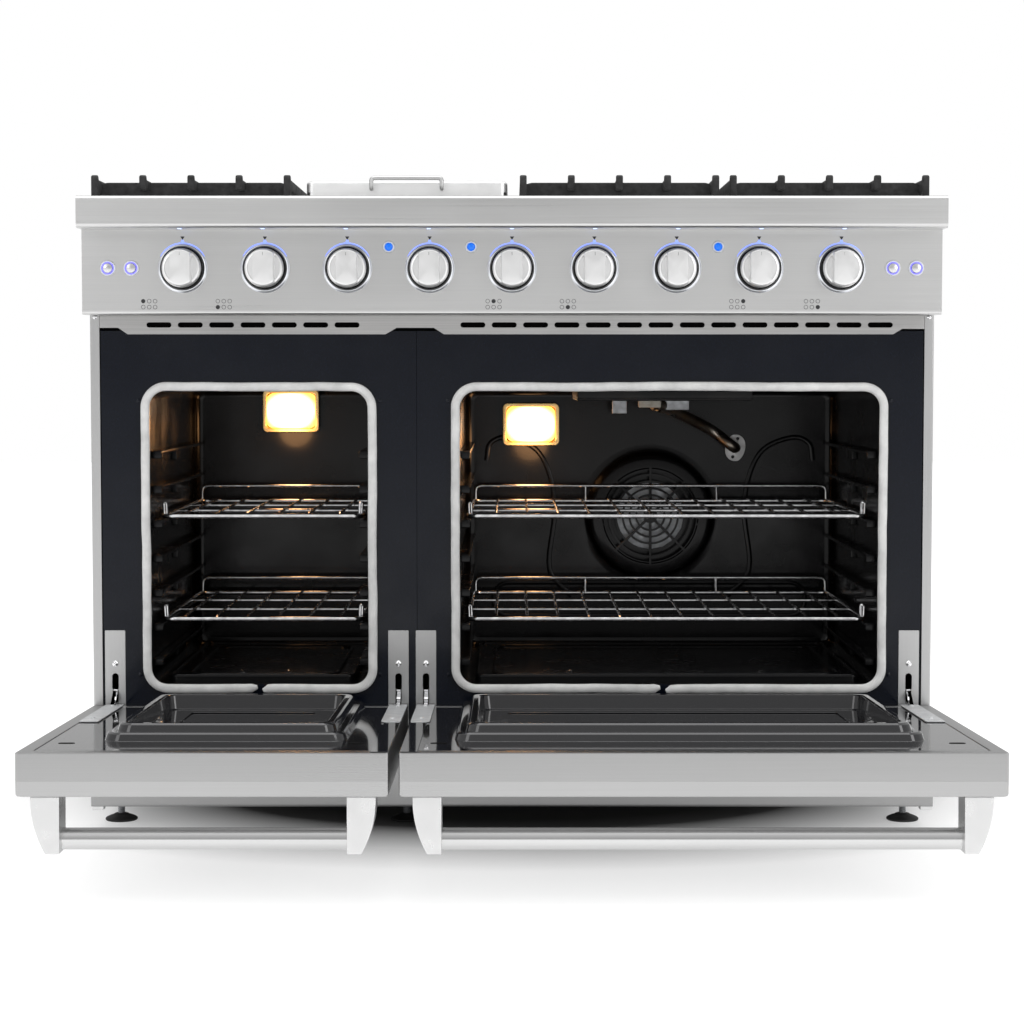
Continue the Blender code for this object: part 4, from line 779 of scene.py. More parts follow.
def make_rail():
    """Front rail and tray in one bent sheet, with the curbs at the sides and the small lights under the rail."""
    front, top = RAIL_LOW.y, RAIL_TOP
    inner = front + 0.062
    line = [(front + 0.060, RAIL_BOTTOM + 0.0006), (front, RAIL_BOTTOM + 0.0006), (front, top),
            (inner, top), (inner, TRAY_FLOOR - 0.0006), (BACK - 0.010, TRAY_FLOOR - 0.0006), (BACK - 0.010, top),
            (BACK - 0.0018, top), (BACK - 0.0018, RAIL_BOTTOM + 0.0006)]
    put(bent_sheet("cooktop_sheet", line, -HALF + 0.0004, HALF - 0.0004, bend=0.0055, side=-1.0),
        "range_body", "steel_across", replaces="cooktop_tray", slot="stainless")
    for name, x in (("left", -HALF), ("right", HALF - 0.010)):
        curb = slab(name + "_tray_curb", (x, inner - 0.001, RAIL_BOTTOM + 0.0004),
                    (x + 0.010, BACK - 0.001, top - 0.0002), 0.0014, 3)
        put(curb, "range_body", "steel_deep", slot="stainless")
        outline = round_corners([(front + 0.0005, RAIL_BOTTOM + 0.0005, 0), (inner, RAIL_BOTTOM + 0.0005, 0),
                                 (inner, top - 0.0004, 0), (front + 0.0005, top - 0.0004, 0)], 0.0032, 5, True)
        side = -1 if name == "left" else 1
        cap = prism(name + "_rail_cap", [(p.x, p.y) for p in outline], side * (HALF - 0.0018), side * (HALF - 0.0002))
        put(cap, "range_body", "steel_upright", slot="stainless")
    lens = [slab("lens", (x - 0.0028, front + 0.010, RAIL_BOTTOM - 0.0012),
                 (x + 0.0028, front + 0.017, RAIL_BOTTOM + 0.0002), 0.0005, 1) for x in knob_places()]
    put(joined("rail_led_lenses", lens), "range_body", "spark_light", slot="lens")


def knob_places():
    """The knobs' places along the panel."""
    return [node_middle(knob).x for knob in KNOBS]


def make_panel():
    """Front plate with its knob and button holes, its rolled lower edge and its end cheeks."""
    low, high = PANEL_LOW, PANEL_HIGH
    knob_z = node_middle(KNOBS[0]).z
    holes = [round_points(x, knob_z, 0.020, 32) for x in knob_places()]
    holes += [round_points(node_middle(button).x, node_middle(button).z, 0.0072, 24) for button in BUTTONS]
    face_low, face_high = low.z + 0.006, high.z - 0.0002
    edge = [(low.x + 0.0002, face_low), (high.x - 0.0002, face_low), (high.x - 0.0002, face_high),
            (low.x + 0.0002, face_high)]
    face = cut_plate("panel_face", [edge] + holes, low.y, low.y + SHEET)
    roll = bent_sheet("panel_roll", [(low.y, face_low), (low.y, low.z), (low.y + 0.050, low.z)],
                      low.x + 0.0002, high.x - 0.0002, bend=0.0032, side=1.0)
    put(joined("control_panel_face", [face, roll]), "range_body", "steel_across",
        replaces="control_panel", slot="stainless")
    for name, x in (("left", low.x + 0.0002), ("right", high.x - 0.0014)):
        cheek = slab(name + "_panel_cheek", (x, low.y + 0.0013, low.z + 0.0015),
                     (x + 0.0012, high.y, high.z - 0.0004), 0.0004, 1)
        put(cheek, "range_body", "steel_upright", slot="stainless")
    # Painted shade: a near-black plate behind the face makes the knob and button holes look dark.
    back = slab("panel_back", (low.x + 0.0016, low.y + 0.006, low.z + 0.004),
                (high.x - 0.0016, low.y + 0.0075, high.z - 0.001))
    put(back, "range_body", "dark_gap", slot="rubber", angle=0)
    make_panel_marks(knob_z)


def make_panel_marks(knob_z):
    """Printed icons, pointers, indicator lights, and painted glow above each knob: an arc and a streak that stand for
    the rail lights' blue light on the panel.
    """
    face = PANEL_FACE
    spots, filled = [], []
    for x, marked in ICONS:
        for k in range(6):
            spot = (x + (k % 3 - 1) * 0.0084, face - 0.00012, (0.7626 if k < 3 else 0.7542) + 0.0001)
            (filled if k == marked else spots).append(spot)
    ring = lathe("icon_ring", [(0.0024, -0.0001), (0.0024, 0.0001), (0.0030, 0.0001), (0.0030, -0.0001)],
                 axis="-y", sides=20)
    sown("burner_icon_rings", ring, spots, "printed_ink", "range_body", angle=0)
    dot = lathe("icon_dot", [(0, -0.0001), (0.0030, -0.0001), (0.0030, 0.0001), (0, 0.0001)], axis="-y", sides=20)
    sown("burner_icon_dots", dot, filled, "printed_ink", "range_body", angle=0)
    mark = prism("pointer", [(-0.0030, 0.0022), (0, -0.0028), (0.0030, 0.0022)], face - 0.0002, face + 0.0001,
                 axis="y")
    spots = [(x, 0, knob_z + 0.0425) for x in knob_places()]
    sown("knob_pointers", mark, spots, "printed_ink", "range_body", angle=0)

    bezel = lathe("bezel", [(0.0309, 0.0), (0.0350, 0.0), (0.0350, 0.0012), (0.0344, 0.0026), (0.0326, 0.0044),
                            (0.0316, 0.0046), (0.0309, 0.0038)], axis="-y", sides=72)
    rows = [(x, face, knob_z) for x in knob_places()]
    sown("knob_bezels", bezel, rows, "bezel_satin", "range_body", slot="polished")
    # Painted light: a thin glowing arc over each bezel and a glowing streak between bezel and pointer stand for the
    # blue light the rail lights cast on the panel.
    arc = [Vector((math.sin(a) * 0.0352, -0.0016, math.cos(a) * 0.0352))
           for a in (math.radians(-62 + 124 * k / 30) for k in range(31))]
    taper = [0.0009 * min(1.0, 0.25 + 4.0 * min(k, 30 - k) / 30) for k in range(31)]
    halo = tube("halo", arc, taper, sides=8)
    beam = prism("beam", [(-0.0011, 0.0400), (0.0011, 0.0400), (0.0030, 0.0345), (-0.0030, 0.0345)], -0.0001, 0.0001,
                 axis="y")
    sown("knob_light_beams", beam, rows, "halo_light", "range_body", slot="lens", angle=0)
    sown("knob_light_arcs", halo, rows, "halo_light", "range_body", slot="lens")

    places = [(x, face, 0.839) for x in INDICATORS]
    ring = lathe("indicator_ring", [(0.0055, 0.0), (0.0084, 0.0), (0.0084, 0.0012), (0.0076, 0.0022),
                                    (0.0061, 0.0022), (0.0055, 0.0012)], axis="-y", sides=40)
    sown("indicator_bezels", ring, places, "bezel_satin", "range_body", slot="polished")
    lens = lathe("indicator_lens", [(0, 0.0002), (0.0054, 0.0002), (0.0053, 0.0014), (0.0040, 0.0024),
                                    (0.0020, 0.0029), (0, 0.0030)], axis="-y", sides=32)
    sown("indicator_lenses", lens, places, "blue_light", "range_body", slot="lens")
    rows = [(node_middle(button).x, face, node_middle(button).z) for button in BUTTONS]
    collar = lathe("button_collar", [(0.0084, 0.0), (0.0110, 0.0), (0.0110, 0.0014), (0.0103, 0.0024),
                                     (0.0091, 0.0024), (0.0084, 0.0014)], axis="-y", sides=48)
    sown("button_bezels", collar, rows, "bezel_satin", "range_body", slot="polished")
    lit = lathe("button_lit", [(0.0074, 0.0), (0.0083, 0.0), (0.0083, 0.0016), (0.0074, 0.0016)], axis="-y", sides=48)
    sown("button_light_rings", lit, rows, "button_light", "range_body", slot="lens")


def make_knob(name):
    """Skirt, turned face and the wide finger bar with its tick."""
    low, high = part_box(name)
    x, z = (low.x + high.x) / 2, (low.z + high.z) / 2
    back, front = PANEL_FACE - 0.0006, low.y
    deep = back - front
    skirt = lathe(name + "_skirt", [(0, 0.0), (0.0300, 0.0), (0.0304, 0.0010), (0.0300, 0.0075), (0.0292, 0.0088),
                                    (0, 0.0092)], (x, back, z), "-y", 72)
    put(skirt, name, "black_plastic", slot="rubber")
    rim = 0.0275
    wide = 0.0165
    disc = lathe(name + "_disc", [(0, 0.0085), (0.0268, 0.0085), (rim, 0.0092), (rim, 0.0165), (rim - 0.0016, 0.0185),
                                  (rim - 0.0042, 0.0192), (rim - 0.0050, 0.0182), (0, 0.0180)], (x, back, z), "-y",
                 72)
    body = lathe("grip", [(0, 0.0090), (0.0262, 0.0090), (0.0258, deep - 0.0035), (0.0246, deep - 0.0010),
                          (0.0225, deep), (0, deep)], (x, back, z), "-y", 72)
    cheeks = [prism("cheek", [(side * wide, back - 0.012), (side * (wide + 0.030), back - 0.012),
                              (side * (wide + 0.030), front - 0.01), (side * (wide - 0.0035), front - 0.01)],
                    -0.05, 0.05, axis="z") for side in (-1, 1)]
    for cheek in cheeks:
        moved(cheek, Matrix.Translation((x, 0, z)))
    grip = softened(carved(body, *cheeks), 0.0014, 3, 40)
    piece = put(joined(name + "_face", [disc, grip]), name, "satin_steel", replaces=name, slot="polished", angle=30)
    tick = slab(name + "_tick", (x - 0.0005, front, z + 0.0165), (x + 0.0005, front + 0.0008, z + 0.0215), 0.0002, 1)
    put(tick, name, "printed_ink")
    return piece


def make_button(name):
    """Domed metal cap of a push button."""
    low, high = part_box(name)
    x, z = (low.x + high.x) / 2, (low.z + high.z) / 2
    face = low.y
    cap = lathe(name + "_cap", [(0, high.y - low.y - 0.001), (0.0070, high.y - low.y - 0.001), (0.0070, 0.0022),
                                (0.0062, 0.0010), (0.0040, 0.0003), (0, 0.0000)], (x, face, z), "y", 40)
    put(cap, name, "handle_satin", replaces=name, slot="polished")


make_rail()
make_panel()
for knob_name in KNOBS:
    make_knob(knob_name)
for button_name in BUTTONS:
    make_button(button_name)


# ---- Vent strip, oven fronts and gaskets ----
def capsule(x, z, length, height, steps=8):
    """Points of a slot with round ends."""
    r, half = height / 2, length / 2 - height / 2
    right = [(x + half + r * math.cos(a), z + r * math.sin(a)) for a in circle(steps, -math.pi / 2, math.pi / 2)]
    left = [(x - half - r * math.cos(a), z - r * math.sin(a)) for a in circle(steps, -math.pi / 2, math.pi / 2)]
    return right + [(x + half, z + r)] + left + [(x - half, z - r)]


def make_vent_strip():
    """Strip above the ovens with its stepped lower edge and its slots, a thin dark lip of painted shade along its top
    and a dark sheet of painted shade behind the slots.
    """
    low, high = TRIM_LOW, TRIM_HIGH
    stepped = [(low.x + 0.0003, high.z), (low.x + 0.0003, TRIM_STEP), (-0.567, TRIM_STEP), (-0.553, low.z + 0.0002),
               (-0.182, low.z + 0.0002), (-0.166, TRIM_STEP), (-0.1126, TRIM_STEP), (-0.098, low.z + 0.0002),
               (0.5485, low.z + 0.0002), (0.5615, 0.7247), (high.x - 0.0003, 0.7247), (high.x - 0.0003, high.z)]
    slots = [capsule(first + VENT_PITCH * n, VENT_HEIGHT, 0.036, 0.0076)
             for first, count in ((-0.508, 7), (-0.0563, 14)) for n in range(count)]
    strip = cut_plate("vent_strip", [stepped] + slots, low.y + 0.0001, high.y)
    put(strip, "range_body", "steel_cloudy", replaces="vent_trim", slot="stainless")
    # Painted shade: a thin near-black lip along the strip's top edge stands for the shadow line under the panel.
    lip = bent_sheet("vent_strip_lip", [(low.y + 0.0001, high.z - 0.0004), (low.y - 0.0006, high.z - 0.0006)],
                     low.x + 0.002, high.x - 0.002, bend=0.0002, thickness=0.0003)
    put(lip, "range_body", "dark_gap", slot="rubber")
    # Painted shade: a near-black sheet behind the slots stands for the shade inside the duct.
    duct = slab("vent_duct_shadow", (low.x + 0.004, FRONT + 0.012, 0.7225), (high.x - 0.004, FRONT + 0.013, 0.742))
    put(duct, "range_body", "dark_gap", slot="rubber", angle=0)


def oven_front(side):
    """Enamelled front frame with its hinge slots, and the pressed oven liner behind it."""
    low_x, high_x = OVENS[side]
    box_low, box_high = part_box(side + "_oven_cavity")
    y = FRONT
    corner = 0.016
    mouth = rounded_box((low_x, OVEN_LOW), (high_x, OVEN_HIGH), corner, 8)
    edge = [(box_low.x, box_low.z), (box_high.x, box_low.z), (box_high.x, box_high.z), (box_low.x, box_high.z)]
    slots = []
    foot, head = HINGE_SLOT
    for arm in ("left", "right"):
        x = node_middle("%s_door_%s_hinge_arm" % (side, arm)).x
        slots.append([(x - 0.0041, foot), (x + 0.0041, foot), (x + 0.0041, head), (x - 0.0041, head)])
    plate = cut_plate(side + "_plate", [edge, mouth] + slots, y, y + SHEET, soft=0.0003)
    rolled = bent_sheet(side + "_rolled", [(y + 0.0004, box_low.z + 0.0004), (y + 0.012, box_low.z + 0.0004)],
                        box_low.x + 0.0004, box_high.x - 0.0004)
    put(joined(side + "_oven_front", [plate, rolled]), "range_body", "enamel",
        replaces=side + "_oven_cavity", slot="enamel")

    shape = bmesh.new()
    rings = []
    fillet, back = 0.014, y + OVEN_DEPTH
    steps = [(y + 0.0004, 0.0), (y + 0.006, 0.0004), (back - fillet, 0.0004)]
    steps += [(back - fillet + fillet * math.sin(math.radians(a)), 0.0004 + fillet * (1 - math.cos(math.radians(a))))
              for a in (15, 30, 45, 60, 75, 90)]
    for depth, inset in steps:
        loop = rounded_box((low_x + inset, OVEN_LOW + inset), (high_x - inset, OVEN_HIGH - inset),
                           max(corner - inset * 0.6, 0.004), 8)
        rings.append([shape.verts.new((u, depth, v)) for u, v in loop])
    skinned(shape, rings)
    shape.faces.new(rings[-1])
    liner = from_shape(side + "_oven_liner", shape)
    liner.data.flip_normals()
    thickened(liner, 0.0011)
    liner = made_real(liner)
    put(liner, "range_body", "oven_enamel", slot="enamel")
    put(ribs(side, low_x, high_x), "range_body", "oven_enamel", slot="enamel")


def ribs(side, low_x, high_x):
    """Seven pressed rack guides on each side wall, each with a nib below its middle and a nose at its front."""
    sets = []
    for wall, turn in ((low_x, 1), (high_x, -1)):
        guide = slab("guide", (0.0006, FRONT + 0.020, -0.0058), (0.0155, FRONT + 0.474, 0.0), 0.0018, 2)
        nib = slab("nib", (0.0004, FRONT + 0.215, -0.0200), (0.0090, FRONT + 0.262, -0.0058), 0.0014, 2)
        nose = slab("nose", (0.0010, FRONT + 0.016, -0.0115), (0.0150, FRONT + 0.030, -0.0010), 0.0018, 2)
        part = joined("guide", [guide, nib, nose])
        if turn < 0:
            moved(part, Matrix.Scale(-1, 4, (1, 0, 0)))
        sets.append(in_row(side + "_ribs", part, 7, (wall, 0, 0.2467), (0, 0, 0.0503), "oven_enamel"))
    return joined(side + "_rack_guides", sets)


def make_gasket(side):
    """Woven rope round the mouth: it wanders a little, and its ends meet at the bottom."""
    low_x, high_x = OVENS[side]
    y = FRONT - 0.0052
    inset = 0.0055
    low, high = (low_x - inset, OVEN_LOW - inset), (high_x + inset, OVEN_HIGH + inset)
    loop = rounded_box(low, high, 0.030, 12)
    seam = -0.364 if side == "left" else 0.221
    start = next(k for k in range(len(loop)) if loop[k][1] <= low[1] + 1e-6 and loop[k - 1][1] > low[1] + 1e-6)
    loop = loop[start:] + loop[:start]
    dense = []
    for k, (u, v) in enumerate(loop):
        nu, nv = loop[(k + 1) % len(loop)]
        pieces = max(1, int(math.hypot(nu - u, nv - v) / 0.008))
        dense += [(u + (nu - u) * s / pieces, v + (nv - v) * s / pieces) for s in range(pieces)]
    near = min(range(len(dense)), key=lambda k: abs(dense[k][0] - seam) + 10 * abs(dense[k][1] - low[1]))
    dense = dense[near:] + dense[:near]
    middle = Vector(((low_x + high_x) / 2, 0, (OVEN_LOW + OVEN_HIGH) / 2))
    path, widths = [], []
    count = len(dense)
    for k, (u, v) in enumerate(dense):
        point = Vector((u, y, v))
        away = (point - Vector((middle.x, y, middle.z))).normalized()
        wander = noise.noise(Vector((u * 9, v * 9, 3.7))) * 0.0011 + noise.noise(Vector((u * 31, v * 31,
                                                                                         9.1))) * 0.0005
        point += away * wander
        share = k / (count - 1)
        end = min(share, 1 - share) * count * 0.008
        point.z -= 0.0032 * max(0.0, 1 - end / 0.010) * (1 if share < 0.5 else -0.6)
        path.append(point)
        width = 0.0064 + noise.noise(Vector((u * 23, v * 23, 1.3))) * 0.0003
        widths.append(width * (0.45 + 0.55 * min(1.0, end / 0.008)))
    rope = tube(side + "_gasket_rope", path, widths, sides=16, flat=0.76)
    for vertex in rope.data.vertices:
        vertex.co.y = min(max(vertex.co.y, FRONT - 0.0099), FRONT - 0.0003)
    put(rope, "range_body", "gasket_rope", replaces=side + "_oven_gasket", slot="rope", angle=60)
    clip = lathe("clip", [(0, 0.0), (0.0034, 0.0), (0.0031, 0.0012), (0.0016, 0.0018), (0, 0.0019)], axis="-y",
                 sides=16)
    spots = [(low[0] - 0.0105, FRONT, low[1] + 0.02), (high[0] + 0.0105, FRONT, low[1] + 0.02),
             (low[0] - 0.0105, FRONT, high[1] - 0.02), (high[0] + 0.0105, FRONT, high[1] - 0.02)]
    sown(side + "_gasket_pins", clip, spots, "enamel", "range_body", slot="enamel")


def make_lamp(side):
    """Heat-glass lamp cover, glowing, in its brass-coloured rim."""
    low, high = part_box(side + "_oven_lamp")
    mid = (low + high) / 2
    y = high.y
    rings = []
    shape = bmesh.new()
    spot = shape.loops.layers.uv.new("spot")
    half = Vector((high.x - low.x, 0, high.z - low.z)) / 2
    for depth, inset, radius in ((y, 0.0070, 0.010), (low.y + 0.008, 0.0075, 0.010), (low.y + 0.003, 0.0100, 0.011),
                                 (low.y + 0.0008, 0.0150, 0.010), (low.y + 0.0004, 0.0240, 0.006)):
        loop = rounded_box((mid.x - half.x + inset, mid.z - half.z + inset),
                           (mid.x + half.x - inset, mid.z + half.z - inset), radius, 6)
        rings.append([shape.verts.new((u, depth, v)) for u, v in loop])
    skinned(shape, rings)
    shape.faces.new(rings[-1])
    shape.faces.new(rings[0])
    for face in shape.faces:
        for corner in face.loops:
            place = corner.vert.co
            corner[spot].uv = ((place.x - mid.x) / half.x * 1.05, (place.z - mid.z) / half.z * 1.05)
    glass = from_shape(side + "_lamp_glass", shape)
    put(glass, "range_body", "lamp_glass", replaces=side + "_oven_lamp", slot="lens")
    outer = rounded_box((low.x + 0.0004, low.z + 0.0004), (high.x - 0.0004, high.z - 0.0004), 0.009, 6)
    inner = rounded_box((low.x + 0.0068, low.z + 0.0068), (high.x - 0.0068, high.z - 0.0068), 0.006, 6)
    rim = cut_plate(side + "_lamp_rim", [outer, inner], low.y + 0.009, y, soft=0.0012)
    put(rim, "range_body", "brass", slot="polished")


make_vent_strip()
for oven in OVENS:
    oven_front(oven)
    make_gasket(oven)
    make_lamp(oven)


# ---- Inside the ovens ----
def make_rack(name, posts):
    """Chromed wire rack: frame rod, fine wires, cross rods, rear stop and the loops at its front corners."""
    low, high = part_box(name)
    rod, cross, wire = 0.0036, 0.0032, 0.0024
    z = low.z + rod
    left, right = low.x + rod, high.x - rod
    front, back = low.y + rod, high.y - rod - 0.0008
    ring = round_corners([(left, front, z), (right, front, z), (right, back, z), (left, back, z)], 0.016, 6, True)
    parts = [tube("frame", ring, rod - 0.0001, 14, closed=True)]
    rise = high.z - 0.0036
    stop = round_corners([(left + 0.004, back - 0.003, z), (left + 0.004, back - 0.001, rise - 0.001),
                          (right - 0.004, back - 0.001, rise - 0.001), (right - 0.004, back - 0.003, z)], 0.010, 5)
    parts.append(tube("stop", stop, 0.0027, 12))
    for x in posts:
        parts.append(tube("post", [(x, back - 0.002, z), (x, back - 0.0012, rise - 0.001)], 0.0022, 10))
    depth = back - front
    for share in (0.36, 0.70):
        y = front + depth * share
        parts.append(tube("cross", [(left, y, z - 0.0006), (right, y, z - 0.0006)], cross - 0.0004, 10))
    for x, side in ((left, 1), (right, -1)):
        for step in (0.013, 0.020):
            hoop = round_corners([(x + side * 0.0006, front + step, z - 0.001),
                                  (x - side * 0.0004, front + step, z + 0.019),
                                  (x + side * 0.0036, front + step, z + 0.019),
                                  (x + side * 0.0046, front + step, z - 0.001)], 0.002, 4)
            parts.append(tube("hoop", hoop, 0.0016, 8))
    count = 6 if name.startswith("left") else 12
    pitch = 0.0455
    start = (low.x + high.x) / 2 - pitch * (count - 1) / 2
    bow = [(0, front - 0.0002, 0.0016), (0, front + 0.006, 0.0040), (0, front + 0.05, 0.0042), (0, back, 0.0036)]
    grid = in_row("wires", tube("wire", bow, wire - 0.0004, 8), count, (start, 0, z), (pitch, 0, 0), "chrome_wire")
    put(joined(name + "_wires", parts + [grid]), name, "chrome_wire", replaces=name, slot="polished")


def make_fan_cover():
    """Dished cover with arc slots in rings round the middle, its rim screws and the wall's embossed beads."""
    low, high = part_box("fan_cover")
    mid = (low + high) / 2
    outer, opening, wall = 0.1160, 0.079, high.y - 0.0004
    depth = wall - low.y - 0.0004
    dish = lathe("dish", [(opening - 0.002, depth), (0.092, depth), (0.0985, depth - 0.003), (0.1050, 0.003),
                          (0.1090, 0.0014), (outer, 0.0012), (outer, 0.0), (0.1080, 0.0), (0.1036, 0.0018),
                          (0.0970, depth - 0.0044), (0.0915, depth - 0.0012), (opening - 0.002, depth - 0.0012)],
                 (0, 0, 0), "z", 96)
    rings = [lathe("hub", [(0, depth), (0.0120, depth), (0.0120, depth - 0.0012), (0, depth - 0.0012)], axis="z",
                   sides=40)]
    for radius in (0.0215, 0.0325, 0.0435, 0.0545, 0.0655, 0.0755):
        rings.append(lathe("ring", [(radius, depth), (radius + 0.0036, depth), (radius + 0.0036, depth - 0.0012),
                                    (radius, depth - 0.0012)], axis="z", sides=96))
    bar = slab("bar", (0.010, -0.0022, depth - 0.0014), (0.080, 0.0022, depth + 0.0002), 0.0004, 1)
    spokes = in_ring("spokes", bar, 8, "oven_enamel")
    grille = joined("fan_cover_grille", [dish, spokes] + rings)
    moved(grille, Matrix.Translation((mid.x, wall, mid.z)) @ TURN["-y"])
    put(grille, "range_body", "oven_enamel", replaces="fan_cover", slot="enamel")
    head = lathe("head", [(0, -0.0005), (0.0042, -0.0005), (0.0040, 0.0016), (0.0026, 0.0026), (0, 0.0029)],
                 axis="-y", sides=20)
    spots = [(mid.x + x, wall - 0.0012, mid.z + 0.079) for x in (-0.0600, 0.0600)]
    tabs = [slab("tab", (x - 0.009, wall - 0.0012, z - 0.008), (x + 0.009, wall, z + 0.010), 0.0004, 1) for x, _,
            z in spots]
    put(joined("fan_cover_tabs", tabs), "range_body", "oven_enamel", slot="enamel")
    sown("fan_cover_screws", head, spots, "chrome_wire", "range_body", slot="polished")
    beads = []
    for side in (-1, 1):
        x, z = mid.x + side * 0.175, mid.z
        lobe = [(x + side * -0.052 * 0.9, wall, z - 0.135), (x - side * 0.010, wall, z - 0.090),
                (x - side * 0.018, wall, z), (x - side * 0.012, wall, z + 0.060), (x + side * 0.012, wall, z + 0.108),
                (x + side * 0.060, wall, z + 0.128),
                (x + side * 0.088, wall, z + 0.118), (x + side * 0.094, wall, z + 0.090)]
        beads.append(tube("bead", smooth_path(lobe), 0.0042, 10, flat=0.55))
    frame_loop = rounded_box((OVENS["right"][0] + 0.045, OVEN_LOW + 0.050),
                             (OVENS["right"][1] - 0.045, OVEN_LOW + 0.105), 0.026, 8)
    beads.append(tube("bead", [(u, wall, v) for u, v in frame_loop], 0.0036, 10, closed=True, flat=0.5))
    put(joined("back_wall_beads", beads), "range_body", "oven_enamel", slot="enamel")


def smooth_path(points, steps=6):
    """A flowing line through the points."""
    points = [Vector(p) for p in points]
    ends = [points[0] * 2 - points[1]] + points + [points[-1] * 2 - points[-2]]
    path = []
    for a, b, c, d in zip(ends, ends[1:], ends[2:], ends[3:]):
        for k in range(steps):
            t = k / steps
            path.append(0.5 * (2 * b + (c - a) * t + (2 * a - 5 * b + 4 * c - d) * t * t
                               + (3 * b - a - 3 * c + d) * t ** 3))
    return path + [points[-1]]


def make_broiler():
    """Infra-red broil burner under the ceiling, with its bracket, ceramic block, supply tube and flange."""
    low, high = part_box("broil_burner")
    box_low = Vector((low.x, low.y, high.z - 0.016))
    pan_high = Vector((low.x + 0.260, low.y + 0.300, high.z))
    pan = slab("pan", (box_low.x, box_low.y, box_low.z + 0.0035), pan_high, 0.0025, 2)
    skirt = slab("skirt", (box_low.x, box_low.y + 0.006, box_low.z + 0.0005),
                 (pan_high.x, pan_high.y - 0.006, box_low.z + 0.0045), 0.001, 1)
    put(joined("broil_burner_pan", [pan, skirt]), "range_body", "scorched_steel", replaces="broil_burner",
        slot="galvanised")
    strand = tube("strand", [(box_low.x + 0.012, 0, 0), (pan_high.x - 0.012, 0, 0)], 0.0009, 6)
    mesh_one = in_row("mesh", strand, 24, (0, box_low.y + 0.014, box_low.z + 0.0008), (0, 0.0118, 0),
                      "scorched_steel")
    put(mesh_one, "range_body", "scorched_steel", slot="galvanised")
    back = pan_high.y
    x = 0.213
    bracket = joined("broil_bracket", [
        slab("plate", (x - 0.052, back - 0.002, high.z - 0.040), (x - 0.028, back + 0.001, high.z - 0.012), 0.0008,
             1),
        slab("foot", (x - 0.052, back - 0.014, high.z - 0.014), (x - 0.028, back + 0.001, high.z - 0.012), 0.0006, 1),
        slab("arm", (x + 0.030, back - 0.001, high.z - 0.034), (x + 0.072, back + 0.0006, high.z - 0.008), 0.0005,
             1)])
    put(bracket, "range_body", "galvanised", slot="galvanised")
    block = joined("igniter_block", [
        slab("block", (x - 0.010, back - 0.016, high.z - 0.030), (x + 0.026, back + 0.004, high.z - 0.007), 0.0018,
             2),
        slab("cap", (x - 0.006, back - 0.019, high.z - 0.025), (x + 0.010, back - 0.015, high.z - 0.012), 0.0010, 2)])
    put(block, "range_body", "ceramic", slot="rope")
    end = Vector((0.368, high.y - 0.010, 0.538))
    route = smooth_path([(x + 0.014, back - 0.004, high.z - 0.024), (x + 0.035, back + 0.010, high.z - 0.030),
                         (x + 0.110, back + 0.070, high.z - 0.066), (end.x - 0.008, end.y - 0.020, end.z + 0.004),
                         (end.x, end.y + 0.006, end.z)], 8)
    pipe = tube("pipe", route, [0.0098 if k < 9 else 0.0088 for k in range(len(route))], 18)
    collar = tube("collar", [route[4], route[7]], 0.0112, 18)
    put(joined("broil_supply_tube", [pipe, collar]), "range_body", "burner_steel", slot="galvanised")
    centre = Vector((end.x, 0, end.z))
    outline = [(centre.x + 0.0135 * math.cos(a) * (1 + 0.30 * abs(math.sin(a + 0.9))),
                centre.z + 0.0235 * math.sin(a) * (1 + 0.06 * math.cos(2 * a))) for a in circle(36)]
    holes = [[(centre.x + 0.0028 * math.cos(a) + dx, centre.z + 0.0028 * math.sin(a) + dz) for a in circle(14)]
             for dx, dz in ((0.004, 0.015), (-0.004, -0.015))]
    flange = cut_plate("broil_flange", [outline] + holes, high.y - 0.0024, high.y - 0.0004, soft=0.0004)
    put(flange, "range_body", "cast_alloy", slot="galvanised")


def make_floor(side):
    """Enamelled floor plate with a raised bead, thumb screws and a row of slots at the back."""
    low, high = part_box(side + "_oven_floor")
    loops = [rounded_box((low.x, low.y), (high.x, high.y), 0.012, 6)]
    mid = (low.x + high.x) / 2
    y_slots = high.y - 0.030
    count = 5 if side == "left" else 11
    for n in range(count):
        loops.append(capsule(mid + (n - (count - 1) / 2) * 0.040, y_slots, 0.022, 0.008, 5))
    plate = cut_plate(side + "_floor_plate", loops, high.z - 0.0050, high.z - 0.0035, axis="z", soft=0.0004)
    rim = rounded_box((low.x + 0.003, low.y + 0.003), (high.x - 0.003, high.y - 0.003), 0.010, 6)
    edge = tube(side + "_floor_rim", [(u, v, high.z - 0.0030) for u, v in rim], 0.0028, 10, closed=True)
    skirt = cut_plate("skirt", [rounded_box((low.x + 0.0005, low.y + 0.0005), (high.x - 0.0005, high.y - 0.0005),
                                            0.012, 6),
                                rounded_box((low.x + 0.0020, low.y + 0.0020), (high.x - 0.0020, high.y - 0.0020),
                                            0.011, 6)], low.z + 0.0002, high.z - 0.0040, axis="z")
    inner = rounded_box((low.x + 0.028, low.y + 0.020), (high.x - 0.028, high.y - 0.055), 0.020, 6)
    bead = tube("bead", [(u, v, high.z - 0.0038) for u, v in inner], 0.0034, 10, closed=True)
    put(joined(side + "_floor_pan", [plate, edge, bead, skirt]), "range_body", "oven_enamel",
        replaces=side + "_oven_floor", slot="enamel")
    head = lathe("head", [(0, -0.001), (0.0056, -0.001), (0.0054, 0.0022), (0.0036, 0.0034), (0.0020, 0.0028),
                          (0, 0.0027)], axis="z", sides=24)
    reach = 0.034 if side == "left" else 0.142
    spots = [(mid + s * reach, low.y + 0.050, high.z - 0.0040) for s in (-1, 1)]
    sown(side + "_floor_screws", head, spots, "chrome", "range_body", slot="polished")


